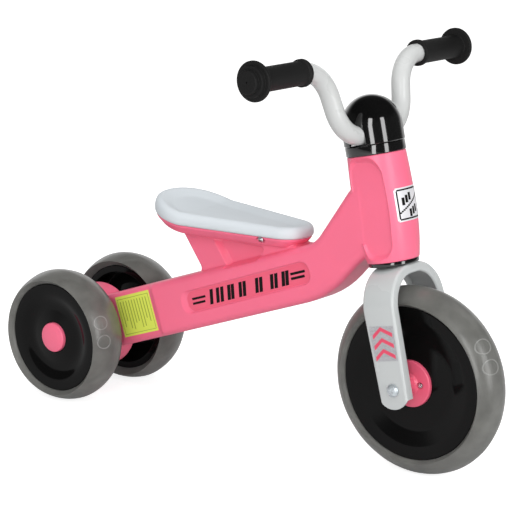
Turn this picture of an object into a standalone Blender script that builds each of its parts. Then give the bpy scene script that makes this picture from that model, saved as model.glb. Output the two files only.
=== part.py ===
"""A toddler's three-wheel balance bike.

A blow-moulded body carries a saddle, a fixed rear axle with two wheels, and a raked head.
A pressed steel fork with one larger wheel turns in the head with the handlebar.
Front is +X, up is +Z, the floor is z = 0 and the bike is symmetric about y = 0.
"""
from math import acos, asin, atan2, cos, pi, radians, sin, sqrt, tan

import bmesh
import bpy
from mathutils import Matrix, Vector

# Layout of the bike
WHEELBASE = 0.429
FRONT_RADIUS = 0.095
REAR_RADIUS = 0.0725
REAR_TRACK = 0.1064
HEAD_RAKE = radians(13.0)
FORK_OFFSET = 0.0076
FORK_LENGTH = 0.1163
CLEARANCE = 0.0003

# Tyres and rims: a wheel's centre plane is its own zero, and outboard is positive
FRONT_TYRE_HALF = 0.0225
FRONT_TYRE_DEPTH = 0.0184
FRONT_RIM_FACE = 0.0177
REAR_TYRE_HALF = 0.0262
REAR_TYRE_DEPTH = 0.0131
REAR_RIM_FACE = 0.0176
REAR_RIM_BACK = 0.0130
TYRE_POINT = 1.62
TYRE_FLARE = 1.26
RIM_LIP = 0.0025
RIM_STEP = 0.0046
RIM_WALL = 0.0028
RIM_RING = 0.012
RIM_EDGE = 0.001
DISH_DEPTH = 0.0055
DISH_FOOT = 0.705
WHEEL_STEPS = 28

# Axles, bushes and hub caps
AXLE_RADIUS = 0.004
AXLE_HEAD_RADIUS = 0.0062
AXLE_HEAD_THICK = 0.0033
AXLE_NUT_RADIUS = 0.0065
AXLE_NUT_THICK = 0.0056
AXLE_END = 0.0075
BUSH_RADIUS = 0.007
HUB_RADIUS = 0.0125
FRONT_CAP_RADIUS = 0.0235
FRONT_CAP_THICK = 0.004
FRONT_BOSS_RADIUS = 0.0086
REAR_CAP_RADIUS = 0.0162
REAR_CAP_RISE = 0.0035
HUB_SCREW_CIRCLE = 0.0126
HUB_SCREW_ANGLE = radians(-9.5)
HUB_SCREW_COUNT = 3
HUB_SCREW_RADIUS = 0.0013
HUB_SCREW_HEAD = 0.0022
HUB_SCREW_LENGTH = 0.0085
LIGHT_LENGTH = 0.030
LIGHT_WIDTH = 0.0150
LIGHT_THICK = 0.007
LIGHT_ANGLE = radians(14.0)

# Body shell
BODY_HALF = 0.022
BODY_WALL = 0.003
BODY_EDGE = 0.0075
BEAM_DEPTH = 0.059
DRUM_RADIUS = 0.0465
DRUM_HALF = 0.0150
DRUM_EDGE = 0.006
HEAD_LENGTH = 0.106
HEAD_TOP_RADIUS = 0.029
HEAD_BULGE_RADIUS = 0.0307
HEAD_BULGE_SHARE = 0.54
HEAD_FOOT_RADIUS = 0.0258
HEAD_SOCKET = 0.020
NECK_BACK = 0.0286
NECK_BACK_HEIGHT = 0.0725
NECK_ROOT_BACK = 0.0794
NECK_ROOT_HEIGHT = 0.0252
BELLY_BACK = 0.0743
BELLY_DROP = 0.0312
THROAT_BACK = 0.0341
THROAT_DROP = 0.0022
PANEL_DEPTH = 0.0014
PANEL_HEIGHT = 0.0236
PANEL_LENGTH = 0.171
PANEL_START = 0.158
PANEL_RISE = 0.0007
PANEL_LEAN = 0.0155
TAPER_STEP = 0.0022
TAPER_RUN = 0.0055
TAPER_START = 0.109
TAPER_SLOPE = 0.0674

# Seat post and saddle
POST_HALF = 0.015
POST_EDGE = 0.0025
POST_REAR_TOP = 0.0174
POST_REAR_FOOT = 0.0302
SEAT_HEIGHT = 0.2165
SEAT_NOSE_GAP = 0.0063
SEAT_TAPER_LENGTH = 0.114
SEAT_REAR_RADIUS = 0.048
SEAT_FRONT_RADIUS = 0.028
SEAT_THICK = 0.0118
SEAT_WALL = 0.003
SEAT_DISH = 0.0045
SEAT_LIFT = 0.008
SEAT_CREST = 0.0068
SEAT_CREST_REACH = 0.050
PAN_DEPTH = 0.0105
PAN_INSET = 0.0090
PAN_RISE = 0.0018
SEAT_EDGE = 0.0016
PLATEAU_INSET = 0.0135
POCKET_DEPTH = 0.006
POCKET_START = 0.0311
POCKET_LENGTH = 0.0556
POCKET_LEAN = 0.0192
SEAT_SCREW_BACK = 0.012
SEAT_SCREW_RADIUS = 0.0021
SEAT_SCREW_HEAD = 0.0036
SEAT_SCREW_LENGTH = 0.0100
SEAT_SCREW_TILT = radians(45.0)
SEAT_BOSS_RADIUS = 0.0042

# Steering column
STEERER_RADIUS = 0.0127
STEERER_WALL = 0.0015
HEADSET_WALL = 0.004
HEADSET_DEPTH = 0.018
LOWER_FLANGE_RADIUS = 0.0250
LOWER_FLANGE_THICK = 0.0038
COLLAR_RADIUS = 0.0295
COLLAR_HEIGHT = 0.0094
COVER_RADIUS = 0.030
COVER_SKIRT = 0.018
COVER_WALL = 0.0025
PLUG_DEPTH = 0.036
PLUG_FLANGE_RADIUS = 0.0165
STEM_BOLT_RADIUS = 0.003
STEM_HEAD_RADIUS = 0.0055

# Handlebar and grips
BAR_RADIUS = 0.0095
BAR_WALL = 0.0015
BAR_ENTRY = 0.010
BAR_HEIGHT = 0.069
BAR_BEND = 0.036
BAR_KNEE = 0.050
BAR_ELBOW = 0.0665
BAR_HALF_SPAN = 0.168
GRIP_SLEEVE = 0.072
GRIP_RADIUS = 0.0117
GRIP_STOP_RADIUS = 0.0134
GRIP_FLANGE_RADIUS = 0.0194
GRIP_GUARD = 0.004
GRIP_FLANGE_THICK = 0.004
GRIP_STEP_RADIUS = 0.0148
GRIP_END_RADIUS = 0.0112
GRIP_CAP = 0.013

# Fork
FORK_HALF_SPAN = 0.046
FORK_FLANGE = 0.0130
FORK_CROWN_FLANGE = 0.0100
FORK_SHEET = 0.002
FORK_HALF_WIDTH = 0.0153
FORK_CROWN_HALF_WIDTH = 0.0180
FORK_SETBACK = 0.0013
FORK_CROWN_SETBACK = 0.0028
FORK_CORNER = 0.0025
FORK_SHOULDER = 0.040
FORK_TIP = 0.0191
FORK_FLANGE_END = 0.0108
FORK_TIP_RADIUS = 0.0184

# Where the wheels and the head stand, worked out from the layout
FRONT_RIM_RADIUS = FRONT_RADIUS - FRONT_TYRE_DEPTH
REAR_RIM_RADIUS = REAR_RADIUS - REAR_TYRE_DEPTH
FRONT_X = (WHEELBASE - FRONT_RADIUS + REAR_RADIUS) / 2
REAR_X = FRONT_X - WHEELBASE
HEAD_FOOT = FORK_LENGTH + LOWER_FLANGE_THICK + 2 * CLEARANCE
HEAD_TOP = HEAD_FOOT + HEAD_LENGTH
COVER_FOOT = HEAD_TOP + COLLAR_HEIGHT + 2 * CLEARANCE
BAR_LEVEL = COVER_FOOT + BAR_ENTRY
GRIP_INNER = BAR_HALF_SPAN - GRIP_SLEEVE
GRIP_FLANGE_OUTER = BAR_HALF_SPAN + GRIP_GUARD
GRIP_END = BAR_HALF_SPAN + GRIP_CAP
REAR_SIDE = REAR_TRACK / 2
HEADSET_RADIUS = STEERER_RADIUS + CLEARANCE + HEADSET_WALL

PARTS = "balance_bike"
TOOLS = "balance_bike_cutters"


def clear_scene():
    """Start from an empty scene with one collection for parts and one for cutters."""
    for obj in list(bpy.data.objects):
        bpy.data.objects.remove(obj, do_unlink=True)
    for name in (PARTS, TOOLS):
        old = bpy.data.collections.get(name)
        if old:
            bpy.data.collections.remove(old)
        bpy.context.scene.collection.children.link(bpy.data.collections.new(name))


def finish(name, colour, roughness, metallic=0.0):
    """A plain Principled material."""
    mat = bpy.data.materials.new(name)
    mat.use_nodes = True
    shader = mat.node_tree.nodes["Principled BSDF"]
    shader.inputs["Base Color"].default_value = (*colour, 1.0)
    shader.inputs["Roughness"].default_value = roughness
    shader.inputs["Metallic"].default_value = metallic
    mat.diffuse_color = (*colour, 1.0)
    return mat


def add_object(name, mesh, parent=None, location=(0, 0, 0), mat=None):
    """Link a part, or a wire-drawn cutter when it has no material."""
    obj = bpy.data.objects.new(name, mesh)
    obj.parent = parent
    obj.location = location
    if mat:
        mesh.materials.clear()
        mesh.materials.append(mat)
        bpy.data.collections[PARTS].objects.link(obj)
    else:
        obj.hide_render = True
        obj.display_type = "WIRE"
        bpy.data.collections[TOOLS].objects.link(obj)
    return obj


def add_empty(name, location, parent=None, rotation=(0, 0, 0)):
    """An empty that a group of parts hangs from."""
    empty = bpy.data.objects.new(name, None)
    empty.location = location
    empty.rotation_euler = rotation
    empty.parent = parent
    empty.empty_display_size = 0.02
    bpy.data.collections[PARTS].objects.link(empty)
    return empty


def boolean(obj, tool, operation="DIFFERENCE"):
    """Add an exact Boolean."""
    mod = obj.modifiers.new(tool.name, "BOOLEAN")
    mod.object = tool
    mod.operation = operation
    mod.solver = "EXACT"
    return mod


def round_edges(obj, width, segments, angle=50.0):
    """A Bevel on the edges sharper than an angle."""
    mod = obj.modifiers.new("round_edges", "BEVEL")
    mod.width = width
    mod.segments = segments
    mod.limit_method = "ANGLE"
    mod.angle_limit = radians(angle)
    mod.use_clamp_overlap = False
    return mod


def settle(obj):
    """Replace an object's mesh by its evaluated one, with its modifiers applied."""
    bpy.context.view_layer.update()
    graph = bpy.context.evaluated_depsgraph_get()
    mesh = bpy.data.meshes.new_from_object(obj.evaluated_get(graph))
    obj.modifiers.clear()
    obj.data = mesh
    return obj


def smooth(obj, angle=35.0):
    """Shade a part smooth with sharp edges kept."""
    obj.data.shade_smooth()
    obj.data.set_sharp_from_angle(angle=radians(angle))
    return obj


def weld(mesh, distance=0.00001):
    """Merge points that lie on each other."""
    work = bmesh.new()
    work.from_mesh(mesh)
    bmesh.ops.remove_doubles(work, verts=work.verts, dist=distance)
    work.to_mesh(mesh)
    work.free()


# Frames in which an outline's x and y become the part's axes
SIDE = Matrix(((1, 0, 0, 0), (0, 0, -1, 0), (0, 1, 0, 0), (0, 0, 0, 1)))
FACE = Matrix(((0, 0, 1, 0), (1, 0, 0, 0), (0, 1, 0, 0), (0, 0, 0, 1)))
OFF_SEAM = Matrix.Rotation(radians(4), 4, "Z")


def rounded(corners, closed=True, step=radians(20)):
    """Points of a polygon whose corners (x, y, radius) are turned into arcs."""
    points = []
    count = len(corners)
    for i, (x, y, radius) in enumerate(corners):
        here = Vector((x, y))
        ends = not closed and i in (0, count - 1)
        if radius <= 0 or ends:
            points.append(here)
            continue
        before = (Vector(corners[i - 1][:2]) - here).normalized()
        after = (Vector(corners[(i + 1) % count][:2]) - here).normalized()
        turn = pi - acos(max(-1.0, min(1.0, before.dot(after))))
        reach = radius * tan(turn / 2)
        centre = here + (before + after).normalized() * radius / cos(turn / 2)
        start = here + before * reach - centre
        end = here + after * reach - centre
        sweep = atan2(start.x * end.y - start.y * end.x, start.dot(end))
        pieces = max(2, round(turn / step))
        for k in range(pieces + 1):
            points.append(centre + Matrix.Rotation(sweep * k / pieces, 2) @ start)
    return points


def inset(corners, amount):
    """The same corners moved inwards, with their radii kept parallel."""
    result = []
    count = len(corners)
    for i, (x, y, radius) in enumerate(corners):
        here = Vector((x, y))
        back = (here - Vector(corners[i - 1][:2])).normalized()
        ahead = (Vector(corners[(i + 1) % count][:2]) - here).normalized()
        left_back = Vector((-back.y, back.x))
        left_ahead = Vector((-ahead.y, ahead.x))
        mitre = (left_back + left_ahead).normalized()
        moved = here + mitre * amount / max(0.2, mitre.dot(left_back))
        convex = back.x * ahead.y - back.y * ahead.x > 0
        shift = -amount if convex else amount
        result.append((moved.x, moved.y, max(0.0, radius + shift) if radius else 0.0))
    return result


def plate_mesh(name, points, half, frame=SIDE):
    """A closed flat plate from an outline, half its thickness to each side."""
    curve = bpy.data.curves.new(name, "CURVE")
    curve.dimensions = "2D"
    curve.fill_mode = "BOTH"
    curve.extrude = half
    spline = curve.splines.new("POLY")
    spline.points.add(len(points) - 1)
    for target, point in zip(spline.points, points):
        target.co = (point[0], point[1], 0.0, 1.0)
    spline.use_cyclic_u = True
    holder = bpy.data.objects.new(name, curve)
    bpy.data.collections[TOOLS].objects.link(holder)
    bpy.context.view_layer.update()
    graph = bpy.context.evaluated_depsgraph_get()
    mesh = bpy.data.meshes.new_from_object(holder.evaluated_get(graph))
    bpy.data.objects.remove(holder)
    bpy.data.curves.remove(curve)
    weld(mesh)
    mesh.transform(frame)
    return mesh


def plate(name, points, half, frame=SIDE, **placing):
    """A plate as an object."""
    return add_object(name, plate_mesh(name, points, half, frame), **placing)


def tube_mesh(name, points, radius, sides=4):
    """A round bar along a list of points, with welded caps."""
    curve = bpy.data.curves.new(name, "CURVE")
    curve.dimensions = "3D"
    curve.bevel_depth = radius
    curve.bevel_resolution = sides
    curve.use_fill_caps = True
    spline = curve.splines.new("POLY")
    spline.points.add(len(points) - 1)
    for target, point in zip(spline.points, points):
        target.co = (*point, 1.0)
    holder = bpy.data.objects.new(name, curve)
    bpy.data.collections[TOOLS].objects.link(holder)
    bpy.context.view_layer.update()
    graph = bpy.context.evaluated_depsgraph_get()
    mesh = bpy.data.meshes.new_from_object(holder.evaluated_get(graph))
    bpy.data.objects.remove(holder)
    bpy.data.curves.remove(curve)
    weld(mesh)
    return mesh


def turned(name, profile, steps, ring=False, frame=None, **placing):
    """A turned part: (radius, height) points run down its outer side and are screwed about Z."""
    mesh = bpy.data.meshes.new(name)
    edges = [(i, i + 1) for i in range(len(profile) - 1)]
    if ring:
        edges.append((len(profile) - 1, 0))
    mesh.from_pydata([(radius, 0.0, height) for radius, height in profile], edges, [])
    obj = add_object(name, mesh, **placing)
    mod = obj.modifiers.new("turn", "SCREW")
    mod.steps = steps
    mod.render_steps = steps
    mod.use_merge_vertices = True
    mod.merge_threshold = 0.00001
    settle(obj)
    if frame:
        obj.data.transform(frame)
    return obj


def rod(name, radius, low, high, steps=16, bore=0.0, **placing):
    """A plain round bar or, with a bore, a plain sleeve."""
    if bore:
        profile = [(bore, high), (radius, high), (radius, low), (bore, low)]
        return turned(name, profile, steps, ring=True, **placing)
    profile = [(0.0, high), (radius, high), (radius, low), (0.0, low)]
    return turned(name, profile, steps, **placing)


def block(name, low, high, **placing):
    """An axis-aligned box between two corners."""
    mesh = bpy.data.meshes.new(name)
    work = bmesh.new()
    bmesh.ops.create_cube(work, size=1.0)
    low = Vector(low)
    high = Vector(high)
    size = Matrix.Diagonal((*(high - low), 1.0))
    work.transform(Matrix.Translation((low + high) / 2) @ size)
    work.to_mesh(mesh)
    work.free()
    return add_object(name, mesh, **placing)


def mirrored(points):
    """Profile points repeated below zero, for a section that is the same on both sides."""
    return points + [(radius, -height) for radius, height in reversed(points) if height]


def head_point(back, height):
    """World x and z of a point behind the steering axis and above the head's foot."""
    up = HEAD_FOOT + height
    forward = -FORK_OFFSET - back
    x = FRONT_X + forward * cos(HEAD_RAKE) - up * sin(HEAD_RAKE)
    z = FRONT_RADIUS + forward * sin(HEAD_RAKE) + up * cos(HEAD_RAKE)
    return x, z


def head_radius(height):
    """Radius of the barrel-shaped head at a height above its foot."""
    widest = HEAD_LENGTH * (1 - HEAD_BULGE_SHARE)
    if height > widest:
        share = (height - widest) / (HEAD_LENGTH - widest)
        return HEAD_BULGE_RADIUS - (HEAD_BULGE_RADIUS - HEAD_TOP_RADIUS) * share ** 2
    share = (widest - height) / widest
    return HEAD_BULGE_RADIUS - (HEAD_BULGE_RADIUS - HEAD_FOOT_RADIUS) * share ** 2


def beam_frame():
    """Start, direction and upward normal of the beam's centre line, seen from the side."""
    root = Vector(head_point(NECK_ROOT_BACK, NECK_ROOT_HEIGHT))
    start = Vector((REAR_X, REAR_RADIUS))
    reach = root - start
    lean = asin(BEAM_DEPTH / 2 / reach.length)
    pitch = atan2(reach.y, reach.x) - lean
    along = Vector((cos(pitch), sin(pitch)))
    return start, along, Vector((-along.y, along.x))


def beam_point(distance, offset):
    """A side-view point at a distance along the beam and an offset above its centre line."""
    start, along, normal = beam_frame()
    return start + along * distance + normal * offset


def tyre_profile(radius, half, rim_radius, rim_half, back_half):
    """Closed section of a moulded tyre around a rim with a lip on each side."""
    bed = rim_radius - RIM_STEP + CLEARANCE
    seat = rim_radius + CLEARANCE
    shoulder = rim_radius + 0.0006
    rise = radius - shoulder
    points = []
    arc = 10
    for k in range(arc + 1):
        turn = pi / 2 - pi * k / arc
        lift = rise * max(0.0, cos(turn)) ** (2 / TYRE_POINT)
        edge = rim_half if turn >= 0 else back_half
        flank = edge + TYRE_FLARE * (shoulder + lift - rim_radius)
        width = min(half * abs(sin(turn)) ** (2 / TYRE_POINT), flank)
        points.append((shoulder + lift, width if turn >= 0 else -width))
    points.append((seat, -back_half + RIM_LIP + CLEARANCE))
    points.append((bed, -back_half + RIM_LIP + CLEARANCE))
    points.append((bed, rim_half - RIM_LIP - CLEARANCE))
    points.append((seat, rim_half - RIM_LIP - CLEARANCE))
    return points


def dish_profile(rim_radius, face, back, back_lip):
    """Closed section of a dished wheel half, outboard face at the top."""
    bed = rim_radius - RIM_STEP
    wall = RIM_WALL
    bore = BUSH_RADIUS + CLEARANCE
    hub_face = face - FRONT_CAP_THICK
    ring = rim_radius - RIM_RING
    ring_face = face - 0.0008
    foot = rim_radius * DISH_FOOT
    floor = face - DISH_DEPTH
    hub_back = face - 0.0113
    points = [
        (rim_radius - RIM_EDGE, face),
        (rim_radius, face - RIM_EDGE),
        (rim_radius, face - RIM_LIP),
        (bed, face - RIM_LIP),
    ]
    if back_lip:
        points += [(bed, back + RIM_LIP), (rim_radius, back + RIM_LIP), (rim_radius, back)]
    else:
        points += [(bed, back)]
    points += [
        (bed - wall, back),
        (bed - wall, ring_face - wall),
        (ring + 0.001, ring_face - wall),
        (foot, floor - wall),
        (HUB_RADIUS, hub_back),
        (HUB_RADIUS, back),
        (bore, back),
        (bore, hub_face),
        (FRONT_CAP_RADIUS + 0.0008, hub_face),
        (foot, floor),
        ((foot * 2 + ring) / 3, floor + 0.0009),
        ((foot + ring * 2) / 3, ring_face - 0.0014),
        (ring, ring_face),
    ]
    return points


def side_frame(side):
    """Turned parts point outboard: +Y for the left side (1) and -Y for the right side (-1)."""
    return Matrix.Rotation(-side * pi / 2, 4, "X")


def light_module(name, wheel, bed, mat):
    """A flat capsule in a pocket in the tyre, and the cutter for that pocket."""
    half = LIGHT_LENGTH / 2
    spin = Matrix.Rotation(-LIGHT_ANGLE, 4, "Y")
    centre = bed + CLEARANCE + LIGHT_THICK / 2

    def capsule(title, grow, thick, middle, **placing):
        length = half + grow
        width = LIGHT_WIDTH / 2 + grow
        corners = [
            (-width, -length, width),
            (width, -length, width),
            (width, length, width),
            (-width, length, width),
        ]
        mesh = plate_mesh(title, rounded(corners, step=radians(30)), thick / 2, FACE)
        mesh.transform(spin @ Matrix.Translation((middle, 0, 0)))
        return add_object(title, mesh, parent=wheel, **placing)

    module = capsule(name, 0.0, LIGHT_THICK, centre, mat=mat)
    depth = LIGHT_THICK + 0.004
    pocket = capsule(name + "_pocket", CLEARANCE, depth + 2 * CLEARANCE, centre - 0.002)
    return module, pocket


def build_front_wheel(wheel, finishes):
    """Tyre, two rim halves, bush, hub caps, screws and the light in the tyre."""
    bed = FRONT_RIM_RADIUS - RIM_STEP
    profile = tyre_profile(
        FRONT_RADIUS, FRONT_TYRE_HALF, FRONT_RIM_RADIUS, FRONT_RIM_FACE, FRONT_RIM_FACE
    )
    tyre = turned(
        "front_tyre", profile, WHEEL_STEPS, ring=True, frame=side_frame(1),
        parent=wheel, mat=finishes["tyre"],
    )
    module, pocket = light_module("front_light", wheel, bed, finishes["light"])
    boolean(tyre, pocket)
    hub_face = FRONT_RIM_FACE - FRONT_CAP_THICK
    bore = AXLE_RADIUS + CLEARANCE
    rod(
        "front_bush", BUSH_RADIUS, -hub_face + CLEARANCE, hub_face - CLEARANCE,
        bore=bore, frame=side_frame(1), parent=wheel, mat=finishes["nylon"],
    )
    cap_inner = hub_face + CLEARANCE
    cap_outer = FRONT_RIM_FACE + CLEARANCE
    boss_end = FORK_HALF_SPAN - FORK_SHEET - CLEARANCE
    for side, word in ((1, "left"), (-1, "right")):
        rim = turned(
            "front_rim_" + word,
            dish_profile(FRONT_RIM_RADIUS, FRONT_RIM_FACE, CLEARANCE / 2, False),
            WHEEL_STEPS, ring=True, frame=side_frame(side),
            parent=wheel, mat=finishes["black"],
        )
        cap = turned(
            "front_hub_cap_" + word,
            [
                (bore, boss_end), (FRONT_BOSS_RADIUS - 0.001, boss_end),
                (FRONT_BOSS_RADIUS, boss_end - 0.001), (FRONT_BOSS_RADIUS, cap_outer + 0.003),
                (FRONT_BOSS_RADIUS + 0.0022, cap_outer),
                (FRONT_CAP_RADIUS - 0.0012, cap_outer), (FRONT_CAP_RADIUS, cap_outer - 0.0012),
                (FRONT_CAP_RADIUS, cap_inner), (bore, cap_inner),
            ],
            20, ring=True, frame=side_frame(side), parent=wheel, mat=finishes["pink"],
        )
        for k in range(HUB_SCREW_COUNT):
            turn = HUB_SCREW_ANGLE + 2 * pi * k / HUB_SCREW_COUNT
            spot = Vector((cos(turn), 0, sin(turn))) * HUB_SCREW_CIRCLE
            label = word + "_" + str(k + 1)
            hub_screw(label, side, spot, cap_outer, cap, rim, wheel, finishes["steel"])
        smooth(rim)
        smooth(cap)
    smooth(tyre)
    smooth(module)


def hub_screw(label, side, spot, surface, cap, rim, wheel, mat):
    """A pan-head screw sunk in the hub cap, and the stepped hole it needs."""
    seat = surface - 0.0014
    tip = seat - HUB_SCREW_LENGTH
    top = seat + 0.0015
    screw = turned(
        "front_hub_screw_" + label,
        [
            (0.0, top), (HUB_SCREW_HEAD * 0.75, top), (HUB_SCREW_HEAD, top - 0.0006),
            (HUB_SCREW_HEAD, seat + CLEARANCE), (HUB_SCREW_RADIUS, seat + CLEARANCE),
            (HUB_SCREW_RADIUS, tip), (0.0, tip),
        ],
        10, frame=side_frame(side), parent=wheel, mat=mat,
    )
    sink = HUB_SCREW_HEAD + 0.0007
    shank = HUB_SCREW_RADIUS + CLEARANCE
    hole = turned(
        "hub_screw_hole",
        [
            (0.0, surface + 0.002), (sink, surface + 0.002), (sink, seat), (shank, seat),
            (shank, tip - 0.001), (0.0, tip - 0.001),
        ],
        10, frame=side_frame(side), parent=wheel,
    )
    screw.data.transform(Matrix.Translation(spot))
    hole.data.transform(Matrix.Translation(spot))
    boolean(cap, hole)
    boolean(rim, hole)
    smooth(screw)


def build_rear_wheel(word, side, wheel, finishes):
    """Tyre, single dished rim, bush, hub cap and the light in the tyre."""
    prefix = "rear_" + word
    bed = REAR_RIM_RADIUS - RIM_STEP
    profile = tyre_profile(
        REAR_RADIUS, REAR_TYRE_HALF, REAR_RIM_RADIUS, REAR_RIM_FACE, REAR_RIM_BACK
    )
    tyre = turned(
        prefix + "_tyre", profile, WHEEL_STEPS, ring=True, frame=side_frame(side),
        parent=wheel, mat=finishes["tyre"],
    )
    module, pocket = light_module(prefix + "_light", wheel, bed, finishes["light"])
    boolean(tyre, pocket)
    rim = turned(
        prefix + "_rim", dish_profile(REAR_RIM_RADIUS, REAR_RIM_FACE, -REAR_RIM_BACK, True),
        WHEEL_STEPS, ring=True, frame=side_frame(side), parent=wheel, mat=finishes["black"],
    )
    hub_face = REAR_RIM_FACE - FRONT_CAP_THICK
    bush = rod(
        prefix + "_bush", BUSH_RADIUS, -REAR_RIM_BACK - 0.001, hub_face,
        bore=AXLE_RADIUS + CLEARANCE, frame=side_frame(side), parent=wheel,
        mat=finishes["nylon"],
    )
    cap_top = REAR_RIM_FACE + REAR_CAP_RISE
    seat = hub_face + CLEARANCE
    hollow = BUSH_RADIUS + 0.002
    cap = turned(
        prefix + "_hub_cap",
        [
            (0.0, cap_top), (REAR_CAP_RADIUS - 0.003, cap_top),
            (REAR_CAP_RADIUS - 0.001, cap_top - 0.0008), (REAR_CAP_RADIUS, cap_top - 0.0026),
            (REAR_CAP_RADIUS, seat), (hollow, seat), (hollow, cap_top - 0.0018),
            (0.0, cap_top - 0.0018),
        ],
        20, frame=side_frame(side), parent=wheel, mat=finishes["pink"],
    )
    for obj in (tyre, module, rim, bush, cap):
        smooth(obj)


def build_rear_axle(finishes):
    """The fixed rear axle, its spacers and the push nuts that keep the wheels on."""
    hub_face = REAR_RIM_FACE - FRONT_CAP_THICK
    end = REAR_SIDE + REAR_RIM_FACE + REAR_CAP_RISE - 0.0018 - CLEARANCE
    centre = (REAR_X, 0, REAR_RADIUS)
    axle = rod(
        "rear_axle", AXLE_RADIUS, -end, end, frame=side_frame(1),
        location=centre, mat=finishes["steel"],
    )
    smooth(axle)
    for side, word in ((1, "left"), (-1, "right")):
        spacer = rod(
            "rear_spacer_" + word, BUSH_RADIUS + 0.002, DRUM_HALF + CLEARANCE,
            REAR_SIDE - REAR_RIM_BACK - 0.001 - CLEARANCE, bore=AXLE_RADIUS + CLEARANCE,
            frame=side_frame(side), location=centre, mat=finishes["nylon"],
        )
        smooth(spacer)
        low = REAR_SIDE + hub_face + CLEARANCE
        nut = rod(
            "axle_push_nut_" + word, BUSH_RADIUS, low, low + 0.0012, bore=AXLE_RADIUS + CLEARANCE,
            frame=side_frame(side), location=centre, mat=finishes["steel"],
        )
        smooth(nut)


def build_fork(column, finishes):
    """A pressed steel channel bent to an upside-down U, with the steerer tube on its crown."""
    half = FORK_HALF_SPAN
    low = -FORK_TIP - 0.002
    outer = [
        (-half, low, 0.0), (half, low, 0.0),
        (half, FORK_LENGTH, FORK_SHOULDER), (-half, FORK_LENGTH, FORK_SHOULDER),
    ]

    def arch(title, margin, extra, **placing):
        inner_foot = half - FORK_FLANGE - extra
        inner_top = half - FORK_CROWN_FLANGE - extra
        inside_top = FORK_LENGTH - FORK_CROWN_FLANGE - extra
        bend = FORK_SHOULDER - FORK_CROWN_FLANGE - extra
        outside = inset(outer, margin)
        top = FORK_LENGTH - margin
        foot = low - margin * 2
        corners = [
            (-half + margin, foot, 0.0), (-inner_foot, foot, 0.0),
            (-inner_top, inside_top, bend), (inner_top, inside_top, bend),
            (inner_foot, foot, 0.0), (half - margin, foot, 0.0),
            (half - margin, top, outside[2][2]), (-half + margin, top, outside[3][2]),
        ]
        points = rounded(corners, step=radians(11))
        return plate(title, points, FORK_HALF_WIDTH - margin, FACE, **placing)

    def lean(obj, margin):
        """Widen the legs towards the crown, further at the back than at the front."""
        rise = FORK_LENGTH - FORK_SHOULDER - low
        for vert in obj.data.vertices:
            share = max(0.0, min(1.0, (vert.co.z - low) / rise))
            width = FORK_HALF_WIDTH + (FORK_CROWN_HALF_WIDTH - FORK_HALF_WIDTH) * share
            back = FORK_SETBACK + (FORK_CROWN_SETBACK - FORK_SETBACK) * share
            grow = (width - margin) / (FORK_HALF_WIDTH - margin)
            vert.co.x = FORK_OFFSET - back + vert.co.x * grow

    fork = arch("fork", 0.0, 0.0, parent=column, mat=finishes["paint"])
    round_edges(fork, FORK_CORNER, 2, angle=60.0)
    settle(fork)
    lean(fork, 0.0)
    channel = arch("fork_channel", FORK_SHEET, 0.004, parent=column)
    lean(channel, FORK_SHEET)
    boolean(fork, channel)
    for side in (1, -1):
        inner = side * (half - FORK_SHEET)
        far = side * (half - FORK_FLANGE - 0.006)
        notch = block(
            "fork_leg_end", (-0.03, min(inner, far), low - 0.01),
            (0.04, max(inner, far), -FORK_FLANGE_END), parent=column,
        )
        boolean(fork, notch)
    middle = FORK_OFFSET - FORK_SETBACK
    drop = FORK_TIP_RADIUS - FORK_TIP
    corner_drop = drop - sqrt(FORK_TIP_RADIUS ** 2 - FORK_HALF_WIDTH ** 2)
    tip = [(-FORK_HALF_WIDTH - 0.01, corner_drop), (-FORK_HALF_WIDTH - 0.01, -0.05)]
    tip += [(FORK_HALF_WIDTH + 0.01, -0.05), (FORK_HALF_WIDTH + 0.01, corner_drop)]
    reach = asin(FORK_HALF_WIDTH / FORK_TIP_RADIUS)
    for k in range(9):
        turn = reach - 2 * reach * k / 8
        tip.append((FORK_TIP_RADIUS * sin(turn), drop - FORK_TIP_RADIUS * cos(turn)))
    rounding = plate(
        "fork_tip_round", tip, half + 0.01, SIDE, parent=column, location=(middle, 0, 0)
    )
    boolean(fork, rounding)
    hole = rod(
        "fork_axle_hole", AXLE_RADIUS + CLEARANCE, -half - 0.01, half + 0.01, steps=20,
        frame=side_frame(1), parent=column, location=(FORK_OFFSET, 0, 0),
    )
    boolean(fork, hole)
    bolt_path = rod(
        "fork_crown_hole", STEM_BOLT_RADIUS + 0.003, FORK_LENGTH - 0.01, FORK_LENGTH + 0.01,
        steps=14, parent=column,
    )
    boolean(fork, bolt_path)
    smooth(fork)
    steerer_top = COVER_FOOT + 0.0002
    steerer = rod(
        "steerer_tube", STEERER_RADIUS, FORK_LENGTH + CLEARANCE, steerer_top, steps=24,
        bore=STEERER_RADIUS - STEERER_WALL, parent=column, mat=finishes["paint"],
    )
    smooth(steerer)


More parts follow.
